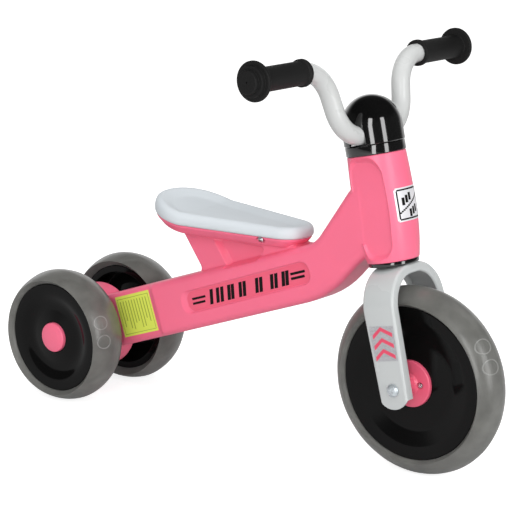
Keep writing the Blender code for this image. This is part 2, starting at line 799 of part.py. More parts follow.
def build_front_axle(column, finishes):
    """The bolt through the fork tips, and its nut."""
    face = FORK_HALF_SPAN + CLEARANCE
    seat = (FORK_OFFSET, 0, 0)
    head = AXLE_HEAD_THICK
    crown = AXLE_HEAD_RADIUS * 0.58
    length = FORK_HALF_SPAN + AXLE_END
    bolt = turned(
        "front_axle_bolt",
        [
            (0.0, face + head), (crown, face + head),
            (AXLE_HEAD_RADIUS - head * 0.12, face + head * 0.55),
            (AXLE_HEAD_RADIUS, face), (AXLE_RADIUS, face), (AXLE_RADIUS, -length), (0.0, -length),
        ],
        20, frame=side_frame(-1), parent=column, location=seat, mat=finishes["steel"],
    )
    smooth(bolt)
    turns = [pi * k / 3 for k in range(6)]
    hexagon = [(AXLE_NUT_RADIUS * cos(turn), AXLE_NUT_RADIUS * sin(turn)) for turn in turns]
    nut = plate(
        "front_axle_nut", hexagon, AXLE_NUT_THICK / 2, SIDE, parent=column,
        mat=finishes["steel"], location=(FORK_OFFSET, face + AXLE_NUT_THICK / 2, 0),
    )
    hole = rod(
        "nut_hole", AXLE_RADIUS + CLEARANCE, face - 0.002, face + 0.01, steps=16,
        frame=side_frame(1), parent=column, location=seat,
    )
    boolean(nut, hole)


def build_headset(frame_column, finishes):
    """Flanged bushes pressed into the top and the foot of the head."""
    bore = STEERER_RADIUS + CLEARANCE
    radius = HEADSET_RADIUS
    edge = 0.0006
    low = HEAD_TOP + CLEARANCE
    high = low + COLLAR_HEIGHT
    upper = turned(
        "upper_headset_bush",
        [
            (bore, high), (COLLAR_RADIUS - edge, high), (COLLAR_RADIUS, high - edge),
            (COLLAR_RADIUS, low), (radius, low), (radius, HEAD_TOP - HEADSET_DEPTH),
            (bore, HEAD_TOP - HEADSET_DEPTH),
        ],
        24, ring=True, parent=frame_column, mat=finishes["black"],
    )
    high = HEAD_FOOT - CLEARANCE
    low = high - LOWER_FLANGE_THICK
    lower = turned(
        "lower_headset_bush",
        [
            (bore, HEAD_FOOT + HEADSET_DEPTH), (radius, HEAD_FOOT + HEADSET_DEPTH),
            (radius, high), (LOWER_FLANGE_RADIUS, high),
            (LOWER_FLANGE_RADIUS, low + edge), (LOWER_FLANGE_RADIUS - edge, low), (bore, low),
        ],
        24, ring=True, parent=frame_column, mat=finishes["black"],
    )
    smooth(upper)
    smooth(lower)


def handlebar_path():
    """Centre line of the bar in the steering plane, from the right end to the left end."""
    top = BAR_LEVEL + BAR_HEIGHT
    half = [
        (0.0, BAR_LEVEL, 0.0), (BAR_KNEE, BAR_LEVEL, BAR_BEND),
        (BAR_ELBOW, top, BAR_BEND), (BAR_HALF_SPAN, top, 0.0),
    ]
    points = rounded(half, closed=False, step=radians(19))
    left = [Vector((0.0, p.x, p.y)) for p in points]
    right = [Vector((0.0, -p.x, p.y)) for p in reversed(points[1:])]
    return right + left


def build_handlebar(column, finishes):
    """Bent tube, stem plug, bolt, nut, domed cover and two grips."""
    path = handlebar_path()
    bar = add_object(
        "handlebar", tube_mesh("handlebar", path, BAR_RADIUS), parent=column,
        mat=finishes["paint"],
    )
    ends = [path[0] + Vector((0, -0.005, 0))] + path[1:-1] + [path[-1] + Vector((0, 0.005, 0))]
    inside = add_object(
        "handlebar_bore", tube_mesh("handlebar_bore", ends, BAR_RADIUS - BAR_WALL),
        parent=column,
    )
    boolean(bar, inside)
    bolt_hole = rod(
        "handlebar_bolt_hole", STEM_BOLT_RADIUS + CLEARANCE, BAR_LEVEL - 0.02,
        BAR_LEVEL + 0.02, steps=16, parent=column,
    )
    boolean(bar, bolt_hole)
    smooth(bar)

    plug_radius = STEERER_RADIUS - STEERER_WALL - CLEARANCE
    shelf = COVER_FOOT + 0.0002 + CLEARANCE
    plug_low = COVER_FOOT - PLUG_DEPTH
    saddle_top = BAR_LEVEL - 0.002
    plug = turned(
        "stem_plug",
        [
            (0.0, saddle_top), (PLUG_FLANGE_RADIUS, saddle_top), (PLUG_FLANGE_RADIUS, shelf),
            (plug_radius, shelf),
            (plug_radius, plug_low), (0.0, plug_low),
        ],
        20, parent=column, mat=finishes["black"],
    )
    groove = rod(
        "stem_groove", BAR_RADIUS + CLEARANCE, -0.03, 0.03, frame=side_frame(1),
        parent=column, location=(0, 0, BAR_LEVEL),
    )
    bolt_way = rod(
        "stem_bolt_way", STEM_BOLT_RADIUS + CLEARANCE, plug_low - 0.01, BAR_LEVEL,
        steps=16, parent=column,
    )
    boolean(plug, groove)
    boolean(plug, bolt_way)
    smooth(plug)

    head_low = BAR_LEVEL + BAR_RADIUS + CLEARANCE
    nut_thick = 0.005
    bolt_end = plug_low - nut_thick - 0.004
    bolt = turned(
        "stem_bolt",
        [
            (0.0, head_low + 0.004), (STEM_HEAD_RADIUS - 0.0008, head_low + 0.004),
            (STEM_HEAD_RADIUS, head_low + 0.0032), (STEM_HEAD_RADIUS, head_low),
            (STEM_BOLT_RADIUS, head_low), (STEM_BOLT_RADIUS, bolt_end), (0.0, bolt_end),
        ],
        18, parent=column, mat=finishes["steel"],
    )
    smooth(bolt)
    hexagon = [(0.0057 * cos(pi * k / 3), 0.0057 * sin(pi * k / 3)) for k in range(6)]
    nut = plate(
        "stem_nut", hexagon, nut_thick / 2, Matrix.Identity(4), parent=column,
        location=(0, 0, plug_low - CLEARANCE - nut_thick / 2), mat=finishes["steel"],
    )
    nut_hole = rod(
        "stem_nut_hole", STEM_BOLT_RADIUS + CLEARANCE, plug_low - 0.01, plug_low + 0.002,
        steps=16, parent=column,
    )
    boolean(nut, nut_hole)

    dome = []
    inner = []
    arc = 7
    centre = COVER_FOOT + COVER_SKIRT
    for k in range(arc + 1):
        turn = pi / 2 * (1 - k / arc)
        dome.append((COVER_RADIUS * cos(turn), centre + COVER_RADIUS * sin(turn)))
    dome[0] = (0.0, centre + COVER_RADIUS)
    hollow = COVER_RADIUS - COVER_WALL
    arc = 5
    for k in range(arc + 1):
        turn = pi / 2 * k / arc
        inner.append((hollow * cos(turn), centre + hollow * sin(turn)))
    inner[-1] = (0.0, centre + hollow)
    cover = turned(
        "stem_cover", dome + [(COVER_RADIUS, COVER_FOOT), (hollow, COVER_FOOT)] + inner,
        24, parent=column, mat=finishes["black"],
    )
    slot_half = BAR_RADIUS + CLEARANCE
    slot_top = BAR_LEVEL + slot_half + 0.0018
    slot = plate(
        "cover_slot",
        rounded([
            (-slot_half, COVER_FOOT - 0.01, 0.0), (slot_half, COVER_FOOT - 0.01, 0.0),
            (slot_half, slot_top, slot_half - 0.00001),
            (-slot_half, slot_top, slot_half - 0.00001),
        ]),
        COVER_RADIUS + 0.01, SIDE, parent=column,
    )
    boolean(cover, slot)
    smooth(cover)

    bore = BAR_RADIUS + CLEARANCE
    stop = GRIP_FLANGE_OUTER - GRIP_FLANGE_THICK
    step_end = (GRIP_FLANGE_OUTER + GRIP_END) / 2
    edge = 0.0009
    for side, word in ((1, "left"), (-1, "right")):
        grip = turned(
            "grip_" + word,
            [
                (0.001, GRIP_END), (GRIP_END_RADIUS - edge, GRIP_END),
                (GRIP_END_RADIUS, GRIP_END - edge), (GRIP_END_RADIUS, step_end),
                (GRIP_STEP_RADIUS, step_end), (GRIP_STEP_RADIUS, GRIP_FLANGE_OUTER),
                (GRIP_FLANGE_RADIUS - edge, GRIP_FLANGE_OUTER),
                (GRIP_FLANGE_RADIUS, GRIP_FLANGE_OUTER - edge),
                (GRIP_FLANGE_RADIUS, stop + edge), (GRIP_FLANGE_RADIUS - edge, stop),
                (GRIP_RADIUS, stop), (GRIP_RADIUS, GRIP_INNER + 0.0055),
                (GRIP_STOP_RADIUS, GRIP_INNER + 0.0045),
                (GRIP_STOP_RADIUS, GRIP_INNER + edge), (GRIP_STOP_RADIUS - edge, GRIP_INNER),
                (bore, GRIP_INNER), (bore, BAR_HALF_SPAN + CLEARANCE),
                (0.001, BAR_HALF_SPAN + CLEARANCE),
            ],
            18, ring=True, frame=side_frame(side), parent=column,
            location=(0, 0, BAR_LEVEL + BAR_HEIGHT), mat=finishes["rubber"],
        )
        smooth(grip)


def seat_centres():
    """World x of the seat's rear and front circles: the beam passes close under the front one."""
    start, along, normal = beam_frame()
    half = BEAM_DEPTH / 2
    rise = SEAT_HEIGHT - PAN_DEPTH - SEAT_NOSE_GAP - start.y - normal.y * half
    front = start.x + normal.x * half + along.x * rise / along.y
    return front - SEAT_TAPER_LENGTH, front


def post_foot():
    """Distance along the beam to the seat post's rear foot, set from the seat's rear circle."""
    return (seat_centres()[0] - REAR_X) / beam_frame()[1].x + POST_REAR_FOOT


def seat_outline(margin, front_steps=9, rear_steps=13):
    """Plan of the saddle: two circles and their common tangents, moved inwards by a margin."""
    rear_x, front_x = seat_centres()
    swing = acos((SEAT_REAR_RADIUS - SEAT_FRONT_RADIUS) / SEAT_TAPER_LENGTH)
    points = []
    for k in range(front_steps):
        turn = -swing + 2 * swing * k / (front_steps - 1)
        radius = SEAT_FRONT_RADIUS - margin
        points.append((front_x + radius * cos(turn), radius * sin(turn)))
    for k in range(rear_steps):
        turn = swing + (2 * pi - 2 * swing) * k / (rear_steps - 1)
        radius = SEAT_REAR_RADIUS - margin
        points.append((rear_x + radius * cos(turn), radius * sin(turn)))
    return points


def seat_lift(x):
    """How far the seat sweeps up towards its rear end."""
    rear = seat_centres()[0]
    share = max(0.0, (rear + 0.022 - x) / (SEAT_REAR_RADIUS + 0.022))
    return SEAT_LIFT * share * share * (3 - 2 * min(1.0, share)) if share < 1 else SEAT_LIFT


def seat_crest(x):
    """How much more the saddle's rim rises above its foot towards the rear end."""
    rear = seat_centres()[0]
    share = (rear + SEAT_CREST_REACH - x) / (SEAT_REAR_RADIUS + SEAT_CREST_REACH)
    return SEAT_CREST * max(0.0, min(1.0, share)) ** 2


def stacked_rings(name, levels, **placing):
    """A closed form from seat outlines, bottom to top: margin, height, share of the crest."""
    work = bmesh.new()
    rings = []
    for margin, height, crest in levels:
        ring = []
        for x, y in seat_outline(margin):
            ring.append(work.verts.new((x, y, height + seat_lift(x) + crest * seat_crest(x))))
        rings.append(ring)
    count = len(rings[0])
    for below, above in zip(rings, rings[1:]):
        for i in range(count):
            j = (i + 1) % count
            work.faces.new((below[i], below[j], above[j], above[i]))
    for ring in (rings[0], rings[-1]):
        for i in range(count // 2):
            a, b = ring[(4 + i + 1) % count], ring[(4 + i) % count]
            c, d = ring[(4 - i) % count], ring[(4 - i - 1) % count]
            corners = [v for n, v in enumerate((a, b, c, d)) if v not in (a, b, c, d)[:n]]
            if len(corners) > 2:
                work.faces.new(corners)
    bmesh.ops.recalc_face_normals(work, faces=work.faces)
    mesh = bpy.data.meshes.new(name)
    work.to_mesh(mesh)
    work.free()
    return add_object(name, mesh, **placing)


def build_saddle(finishes):
    """A moulded saddle with a dished top and a hollow underside."""
    base = SEAT_HEIGHT
    top = base + SEAT_THICK
    outer = [
        (SEAT_EDGE, base, 0.0), (0.0, base + 0.0022, 0.2),
        (0.0004, base + SEAT_THICK * 0.6, 0.6), (0.0026, base + SEAT_THICK * 0.88, 0.88),
        (0.0070, top, 1.0), (0.0130, top - SEAT_DISH * 0.45, 0.93),
        (0.0190, top - SEAT_DISH * 0.9, 0.8), (0.0240, top - SEAT_DISH, 0.75),
    ]
    saddle = stacked_rings("saddle", outer, mat=finishes["white"])
    wall = SEAT_WALL
    hollow = stacked_rings(
        "saddle_hollow",
        [
            (SEAT_EDGE + wall, base - 0.005, 0.0), (SEAT_EDGE + wall, base, 0.0),
            (wall + 0.0012, base + SEAT_THICK * 0.45, 0.4),
            (wall + 0.006, top - wall - 0.0008, 0.9), (0.0240, top - SEAT_DISH - wall, 0.75),
        ],
    )
    boolean(saddle, hollow)
    for side in (1, -1):
        spot = screw_frame(side).translation
        boss = rod(
            "saddle_boss", SEAT_BOSS_RADIUS, base, base + SEAT_THICK - 0.0025, steps=18,
            location=(spot.x, spot.y - side * 0.0046, 0),
        )
        screw_way = rod(
            "saddle_screw_way", SEAT_SCREW_RADIUS + CLEARANCE, -0.001,
            SEAT_SCREW_LENGTH + 0.001, steps=14, frame=screw_frame(side),
        )
        boolean(saddle, boss, "UNION")
        boolean(saddle, screw_way)
    smooth(saddle, 50)


def build_body(frame_column, finishes):
    """The one-piece hollow body: beam, neck, head, drum, seat post and seat pan."""
    along = beam_frame()[1]
    rear_low = beam_point(0.004, -BEAM_DEPTH / 2)
    rear_high = beam_point(0.004, BEAM_DEPTH / 2)
    spine = [
        (*rear_low, 0.0),
        (*head_point(BELLY_BACK, -BELLY_DROP), 0.110),
        (*head_point(THROAT_BACK, -THROAT_DROP), 0.020),
        (*head_point(0.010, 0.012), 0.0),
        (*head_point(0.005, 0.090), 0.0),
        (*head_point(NECK_BACK, NECK_BACK_HEIGHT), 0.012),
        (*head_point(NECK_ROOT_BACK, NECK_ROOT_HEIGHT), 0.035),
        (*rear_high, 0.0),
    ]
    body = plate("body_shell", rounded(spine), BODY_HALF, SIDE, mat=finishes["pink"])
    round_edges(body, BODY_EDGE, 2, angle=60.0)
    settle(body)
    taper_tail(body, BODY_HALF)

    # The seat post is a thinner web between the beam and the seat pan
    pan_low = SEAT_HEIGHT - PAN_DEPTH
    rear_seat, front_seat = seat_centres()
    foot = beam_point(post_foot(), BEAM_DEPTH / 2 - 0.008)
    nose = beam_point((front_seat + 0.040 - REAR_X) / along.x, 0.0)
    post_corners = [
        (*foot, 0.0), (nose.x, nose.y, 0.0), (front_seat + 0.036, pan_low + 0.003, 0.0),
        (rear_seat - POST_REAR_TOP, pan_low + 0.003, 0.0),
    ]
    post = plate("seat_post", rounded(post_corners), POST_HALF, SIDE)
    round_edges(post, POST_EDGE, 1, angle=60.0)
    boolean(body, post, "UNION")

    # The pan has the saddle's plan, drawn in towards its underside
    pan = stacked_rings("seat_pan", [
        (PAN_INSET + 0.003, pan_low, 0.0), (PAN_INSET - 0.001, pan_low + 0.0015, 0.0),
        (0.0030, SEAT_HEIGHT - 0.0035, 0.0), (SEAT_EDGE, SEAT_HEIGHT - CLEARANCE, 0.0),
        (SEAT_EDGE + SEAT_WALL, SEAT_HEIGHT - CLEARANCE, 0.0),
        (PLATEAU_INSET, SEAT_HEIGHT - CLEARANCE, 0.0),
        (PLATEAU_INSET + 0.001, SEAT_HEIGHT + PAN_RISE, 0.0),
    ])
    boolean(body, pan, "UNION")

    # The head is a barrel with flats level with the beam's sides, rounded at both ends
    barrel = [(0.0, HEAD_TOP)]
    steps = 6
    for k in range(steps + 1):
        height = HEAD_LENGTH * (1 - k / steps)
        barrel.append((head_radius(height), HEAD_FOOT + height))
    barrel.append((0.0, HEAD_FOOT))
    head = turned("head_outer", barrel, 30, parent=frame_column)
    low = HEAD_FOOT + 0.0074
    high = HEAD_TOP - 0.0065
    for side in (1, -1):
        low_side = BODY_HALF - 0.0002
        middle = side * (low_side + 0.010)
        flat_corners = [
            (-0.045, low + 0.0136, 0.0), (-0.014, low + 0.0136, 0.0), (-0.012, low, 0.013),
            (0.0155, low, 0.013), (0.0194, (low + high) / 2, 0.100), (0.0175, high, 0.018),
            (-0.045, high, 0.0),
        ]
        flat = plate("head_flat", rounded(flat_corners), 0.010, SIDE, parent=frame_column)
        flat.data.transform(Matrix.Translation((0, middle, 0)))
        boolean(head, flat)
    boolean(body, head, "UNION")

    # The drum around the rear axle
    edge = DRUM_EDGE
    drum_section = [(0.0, DRUM_HALF)]
    for k in range(3):
        turn = pi / 2 * (1 - k / 2)
        drum_section.append(
            (DRUM_RADIUS - edge + edge * cos(turn), DRUM_HALF - edge + edge * sin(turn))
        )
    drum_profile = mirrored(drum_section[1:])
    drum = turned(
        "drum", [(0.0, DRUM_HALF)] + drum_profile + [(0.0, -DRUM_HALF)], 32,
        frame=side_frame(1), location=(REAR_X, 0, REAR_RADIUS),
    )
    boolean(body, drum, "UNION")

    boolean(body, build_hollow(frame_column, spine, post_corners, pan_low))
    head_bore = rod(
        "head_bore", HEADSET_RADIUS + CLEARANCE, HEAD_FOOT - 0.02, HEAD_TOP + 0.02,
        steps=24, frame=OFF_SEAM, parent=frame_column,
    )
    axle_bore = rod(
        "axle_bore", AXLE_RADIUS + CLEARANCE, -DRUM_HALF - 0.02, DRUM_HALF + 0.02, steps=20,
        frame=side_frame(1) @ OFF_SEAM, location=(REAR_X, 0, REAR_RADIUS),
    )
    boolean(body, head_bore)
    boolean(body, axle_bore)
    carve_sides(body, pan_low)
    smooth(body, 40)


def taper_tail(obj, half, wall=0.0):
    """Narrow a slab towards the rear axle, from a small step in its sides."""
    start, along = beam_frame()[:2]
    work = bmesh.new()
    work.from_mesh(obj.data)
    for distance in (TAPER_START, TAPER_START + TAPER_RUN):
        point = beam_point(distance, 0.0)
        parts = work.verts[:] + work.edges[:] + work.faces[:]
        bmesh.ops.bisect_plane(
            work, geom=parts, plane_co=(point.x, 0, point.y), plane_no=(along.x, 0, along.y)
        )
    for vert in work.verts:
        distance = (Vector((vert.co.x, vert.co.z)) - start).dot(along)
        if distance < TAPER_START + TAPER_RUN / 2:
            outside = BODY_HALF - TAPER_STEP - TAPER_SLOPE * (TAPER_START - distance)
            vert.co.y *= (outside - wall) / half
    bmesh.ops.triangulate(work, faces=[face for face in work.faces if len(face.verts) == 4])
    work.to_mesh(obj.data)
    work.free()


def build_hollow(frame_column, spine, post_corners, pan_low):
    """The body's one hollow, a wall thickness inside its skin."""
    wall = BODY_WALL
    hollow = plate("body_hollow", rounded(inset(spine, wall)), BODY_HALF - wall, SIDE)
    round_edges(hollow, BODY_EDGE - wall, 1, angle=60.0)
    settle(hollow)
    taper_tail(hollow, BODY_HALF - wall, wall)
    low_rear, low_front, high_front, high_rear = inset(post_corners, wall)
    rise = 0.006
    post_hollow = plate(
        "post_hollow",
        [low_rear[:2], low_front[:2], (high_front[0], high_front[1] + rise),
         (high_rear[0], high_rear[1] + rise)],
        POST_HALF - POCKET_DEPTH - wall, SIDE,
    )
    pan_hollow = stacked_rings("pan_hollow", [
        (PLATEAU_INSET + wall, pan_low + wall, 0.0),
        (PLATEAU_INSET + wall + 0.0005, SEAT_HEIGHT + PAN_RISE - wall, 0.0),
    ])
    drum_hollow = rod(
        "drum_hollow", DRUM_RADIUS - wall - 0.001, -DRUM_HALF + wall, DRUM_HALF - wall,
        steps=24, frame=side_frame(1), location=(REAR_X, 0, REAR_RADIUS),
    )
    head_hollow = rod(
        "head_hollow", BODY_HALF - wall - 0.0004, HEAD_FOOT + HEAD_SOCKET,
        HEAD_TOP - HEAD_SOCKET, steps=20, parent=frame_column,
    )
    socket = rod(
        "head_socket", HEADSET_RADIUS + CLEARANCE + wall, HEAD_FOOT - 0.01,
        HEAD_FOOT + HEAD_SOCKET - 0.0005, steps=20, parent=frame_column,
    )
    axle_boss = rod(
        "axle_boss", AXLE_RADIUS + CLEARANCE + wall, -DRUM_HALF, DRUM_HALF,
        steps=20, frame=side_frame(1), location=(REAR_X, 0, REAR_RADIUS),
    )
    for tool in (post_hollow, pan_hollow, drum_hollow, head_hollow):
        boolean(hollow, tool, "UNION")
    boolean(hollow, socket)
    boolean(hollow, axle_boss)
    return hollow


def carve_sides(body, pan_low):
    """Recesses on each side: a long shallow panel, the post's pocket and a seat screw's hole."""
    for side in (1, -1):
        outside = side * BODY_HALF
        ends = (0.0, PANEL_LENGTH)
        low, high = -PANEL_HEIGHT / 2, PANEL_HEIGHT / 2
        radius = PANEL_HEIGHT * 0.42
        corners = []
        for distance, offset in ((ends[0], low), (ends[1], low), (ends[1], high), (ends[0], high)):
            lift = PANEL_RISE + PANEL_LEAN * distance
            point = beam_point(PANEL_START + distance, offset + lift)
            corners.append((point.x, point.y, radius))
        panel = plate("side_panel", rounded(corners, step=radians(20)), PANEL_DEPTH, SIDE)
        panel.data.transform(Matrix.Translation((0, outside, 0)))
        boolean(body, panel)
        boolean(body, pocket_cutter(side, pan_low))
        screw_way = rod(
            "seat_screw_way", SEAT_SCREW_RADIUS + CLEARANCE, -0.001, SEAT_SCREW_LENGTH + 0.001,
            steps=14, frame=screw_frame(side),
        )
        boolean(body, screw_way)
        sink = rod(
            "seat_screw_sink", SEAT_SCREW_HEAD + 0.0012, -0.02, 0.0,
            steps=18, frame=screw_frame(side),
        )
        boolean(body, sink)


def pocket_cutter(side, pan_low):
    """The tapered recess in the seat post, wide at the surface and smaller at its floor."""
    clear = BEAM_DEPTH / 2 + 0.002
    pocket_rear = post_foot() + POCKET_START
    low_rear = beam_point(pocket_rear, clear)
    low_front = beam_point(pocket_rear + POCKET_LENGTH, clear)
    high = pan_low - 0.003
    mouth = [
        low_rear, low_front, Vector((low_front.x, high)),
        Vector((low_rear.x - POCKET_LEAN, high)),
    ]
    floor = [
        low_rear + Vector((0.0049, 0.0030)), low_front + Vector((-0.0040, 0.0010)),
        Vector((low_front.x - 0.0025, high - 0.0020)),
        Vector((low_rear.x - POCKET_LEAN + 0.0060, high - 0.0020)),
    ]
    work = bmesh.new()
    levels = []
    deep = POST_HALF - POCKET_DEPTH
    for points, depth in ((mouth, POST_HALF + 0.002), (mouth, POST_HALF), (floor, deep)):
        levels.append([work.verts.new((p.x, side * depth, p.y)) for p in points])
    for near, far in zip(levels, levels[1:]):
        for i in range(4):
            j = (i + 1) % 4
            work.faces.new((near[i], near[j], far[j], far[i]))
    work.faces.new(levels[0])
    work.faces.new(levels[-1])
    bmesh.ops.recalc_face_normals(work, faces=work.faces)
    mesh = bpy.data.meshes.new("post_pocket")
    work.to_mesh(mesh)
    work.free()
    return add_object("post_pocket", mesh)


def screw_frame(side):
    """Frame of a seat screw: it points up and inwards from the pan's lower side."""
    x = seat_centres()[1] - SEAT_SCREW_BACK
    y = side * (SEAT_FRONT_RADIUS - 0.0018)
    z = SEAT_HEIGHT - PAN_DEPTH * 0.24
    tilt = Matrix.Rotation(side * SEAT_SCREW_TILT, 4, "X")
    return Matrix.Translation((x, y, z)) @ tilt


def build_seat_screws(finishes):
    """Two screws through the pan into the saddle's bosses."""
    for side, word in ((1, "left"), (-1, "right")):
        screw = turned(
            "seat_screw_" + word,
            [
                (0.0, SEAT_SCREW_LENGTH), (SEAT_SCREW_RADIUS, SEAT_SCREW_LENGTH - 0.002),
                (SEAT_SCREW_RADIUS, -CLEARANCE), (SEAT_SCREW_HEAD, -CLEARANCE),
                (SEAT_SCREW_HEAD * 0.8, -CLEARANCE - 0.002), (0.0, -CLEARANCE - 0.0024),
            ],
            14, frame=screw_frame(side), mat=finishes["steel"],
        )
        smooth(screw)


def main():
    clear_scene()
    finishes = {
        "pink": finish("pink_plastic", (0.87, 0.155, 0.27), 0.38),
        "white": finish("white_plastic", (0.80, 0.84, 0.87), 0.55),
        "black": finish("black_gloss_plastic", (0.012, 0.012, 0.012), 0.15),
        "rubber": finish("black_rubber", (0.02, 0.02, 0.02), 0.7),
        "paint": finish("pale_grey_paint", (0.62, 0.65, 0.65), 0.3),
        "tyre": finish("grey_clear_tyre", (0.19, 0.19, 0.175), 0.35),
        "steel": finish("zinc_steel", (0.6, 0.6, 0.6), 0.3, 1.0),
        "nylon": finish("black_nylon", (0.03, 0.03, 0.03), 0.5),
        "light": finish("light_module", (0.75, 0.75, 0.75), 0.3),
    }
    turn = (0, -HEAD_RAKE, 0)
    foot = (
        FRONT_X - FORK_OFFSET * cos(HEAD_RAKE), 0,
        FRONT_RADIUS - FORK_OFFSET * sin(HEAD_RAKE),
    )
    head_axis = add_empty("head_axis", foot, rotation=turn)
    column = add_empty("steering_axis", foot, rotation=turn)
    front = add_empty("front_wheel_axis", (FORK_OFFSET, 0, 0), parent=column)
    bpy.context.view_layer.update()

    build_body(head_axis, finishes)
    build_saddle(finishes)
    build_seat_screws(finishes)
    build_headset(head_axis, finishes)
    build_rear_axle(finishes)
    build_fork(column, finishes)
    build_front_axle(column, finishes)
    build_handlebar(column, finishes)
    build_front_wheel(front, finishes)
    for side, word in ((1, "left"), (-1, "right")):
        spin = add_empty("rear_" + word + "_axis", (REAR_X, side * REAR_SIDE, REAR_RADIUS))
        build_rear_wheel(word, side, spin, finishes)


main()
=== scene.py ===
"""The looks of a toddler's balance bike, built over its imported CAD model.

Front is +X, up is +Z, the near side is -Y and the floor is z = 0.
"""
from math import acos, asin, atan2, cos, pi, radians, sin, sqrt, tan

import bmesh
import bpy
from mathutils import Matrix, Vector, noise


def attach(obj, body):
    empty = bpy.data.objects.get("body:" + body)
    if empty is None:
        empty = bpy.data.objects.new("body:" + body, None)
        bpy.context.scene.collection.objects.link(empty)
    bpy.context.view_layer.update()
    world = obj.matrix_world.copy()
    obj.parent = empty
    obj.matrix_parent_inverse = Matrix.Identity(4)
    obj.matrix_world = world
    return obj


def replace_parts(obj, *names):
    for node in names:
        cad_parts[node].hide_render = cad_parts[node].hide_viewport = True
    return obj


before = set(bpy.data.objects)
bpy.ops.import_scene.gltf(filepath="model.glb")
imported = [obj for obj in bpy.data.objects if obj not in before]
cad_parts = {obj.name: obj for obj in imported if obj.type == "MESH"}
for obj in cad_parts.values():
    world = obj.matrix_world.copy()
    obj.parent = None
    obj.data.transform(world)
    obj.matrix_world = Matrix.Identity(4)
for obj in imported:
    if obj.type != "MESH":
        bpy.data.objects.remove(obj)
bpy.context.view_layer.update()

# Body shell
# One hollow blow-moulded piece of pink plastic with a satin skin: beam, neck, head, seat
# post, seat pan and the drum around the rear axle. All its edges are softly rounded.
RAKE, FORK_OFFSET = radians(13.0), 0.0076
FRONT_X, FRONT_Z, REAR_X, REAR_Z = 0.20325, 0.095, -0.22575, 0.0725
HEAD_FOOT, HEAD_WIDEST, HEAD_TOP = 0.1207, 0.1695, 0.2267
HEAD_TOP_RADIUS, HEAD_BULGE_RADIUS, HEAD_FOOT_RADIUS = 0.029, 0.0307, 0.0258
BODY_HALF, BODY_EDGE, BEAM_HALF = 0.022, 0.0075, 0.0295
DRUM_RADIUS, DRUM_HALF, DRUM_EDGE = 0.0465, 0.0150, 0.006
COLUMN = Matrix.Translation((
    FRONT_X - FORK_OFFSET * cos(RAKE), 0, FRONT_Z - FORK_OFFSET * sin(RAKE)
)) @ Matrix.Rotation(-RAKE, 4, "Y")
SIDE = Matrix(((1, 0, 0, 0), (0, 0, -1, 0), (0, 1, 0, 0), (0, 0, 0, 1)))
FACE = Matrix(((0, 0, 1, 0), (1, 0, 0, 0), (0, 1, 0, 0), (0, 0, 0, 1)))
LEFT, RIGHT = Matrix.Rotation(-pi / 2, 4, "X"), Matrix.Rotation(pi / 2, 4, "X")
REAR_AXLE = Matrix.Translation((REAR_X, 0, REAR_Z))


def rounded(corners, closed=True, step=radians(6), fixed=0):
    """Points of a polygon whose corners (x, y, radius) are turned into arcs."""
    points = []
    count = len(corners)
    for i, corner in enumerate(corners):
        here = Vector(corner[:2])
        radius = corner[2] if len(corner) > 2 else 0.0
        if radius <= 0 or (not closed and i in (0, count - 1)):
            points.append(here)
            continue
        before = (Vector(corners[i - 1][:2]) - here).normalized()
        after = (Vector(corners[(i + 1) % count][:2]) - here).normalized()
        turn = pi - acos(max(-1.0, min(1.0, before.dot(after))))
        reach = radius * tan(turn / 2)
        centre = here + (before + after).normalized() * radius / cos(turn / 2)
        start = here + before * reach - centre
        end = here + after * reach - centre
        sweep = atan2(start.x * end.y - start.y * end.x, start.dot(end))
        pieces = fixed or max(2, round(turn / step))
        for k in range(pieces + 1):
            points.append(centre + Matrix.Rotation(sweep * k / pieces, 2) @ start)
    return points


def solid(verts, faces, turn=Matrix.Identity(4)):
    """A closed mesh in its place, with every face pointing outwards."""
    mesh = bpy.data.meshes.new("solid")
    mesh.from_pydata(verts, [], faces)
    mesh.transform(turn)
    work = bmesh.new()
    work.from_mesh(mesh)
    bmesh.ops.recalc_face_normals(work, faces=work.faces)
    work.to_mesh(mesh)
    work.free()
    return mesh


def skinned(rings, ends=(), looped=False, turn=Matrix.Identity(4)):
    """A closed form through rings of points, with given end faces or looped back to its start."""
    count = len(rings[0])
    total = count * len(rings)
    faces = [list(end) for end in ends]
    for base in range(0, total if looped else total - count, count):
        beyond = (base + count) % total
        for i in range(count):
            j = (i + 1) % count
            faces.append([base + i, base + j, beyond + j, beyond + i])
    return solid([point for ring in rings for point in ring], faces, turn)


def loft(levels, turn=SIDE):
    """A closed form through outlines with the same number of points, each with its depth."""
    count = len(levels[0][0])
    last = (len(levels) - 1) * count
    rings = [[(p[0], p[1], depth) for p in points] for points, depth in levels]
    return skinned(rings, (range(count), range(last, last + count)), turn=turn)


def slab(points, low, high, turn=SIDE):
    """A flat plate: an outline drawn at two depths and closed."""
    return loft([(points, low), (points, high)], turn)


def both_sides(levels, turn=SIDE):
    """The same loft on the left and the right, with its levels as distances from the middle."""
    return [loft([(points, -side * depth) for points, depth in levels], turn)
            for side in (1, -1)]


def revolve(profile, steps, turn=Matrix.Identity(4), closed=True):
    """A profile (radius, height) turned about Z, with poles where the radius is nothing."""
    verts, faces, rings = [], [], []
    for radius, height in profile:
        if radius < 1e-6:
            rings.append([len(verts)] * steps)
            verts.append((0, 0, height))
            continue
        rings.append(list(range(len(verts), len(verts) + steps)))
        for k in range(steps):
            angle = 2 * pi * k / steps
            verts.append((radius * cos(angle), radius * sin(angle), height))
    pairs = list(zip(rings, rings[1:]))
    if closed:
        pairs.append((rings[-1], rings[0]))
    for upper, lower in pairs:
        for k in range(steps):
            n = (k + 1) % steps
            face = list(dict.fromkeys((upper[k], lower[k], lower[n], upper[n])))
            if len(face) > 2:
                faces.append(face)
    return solid(verts, faces, turn)


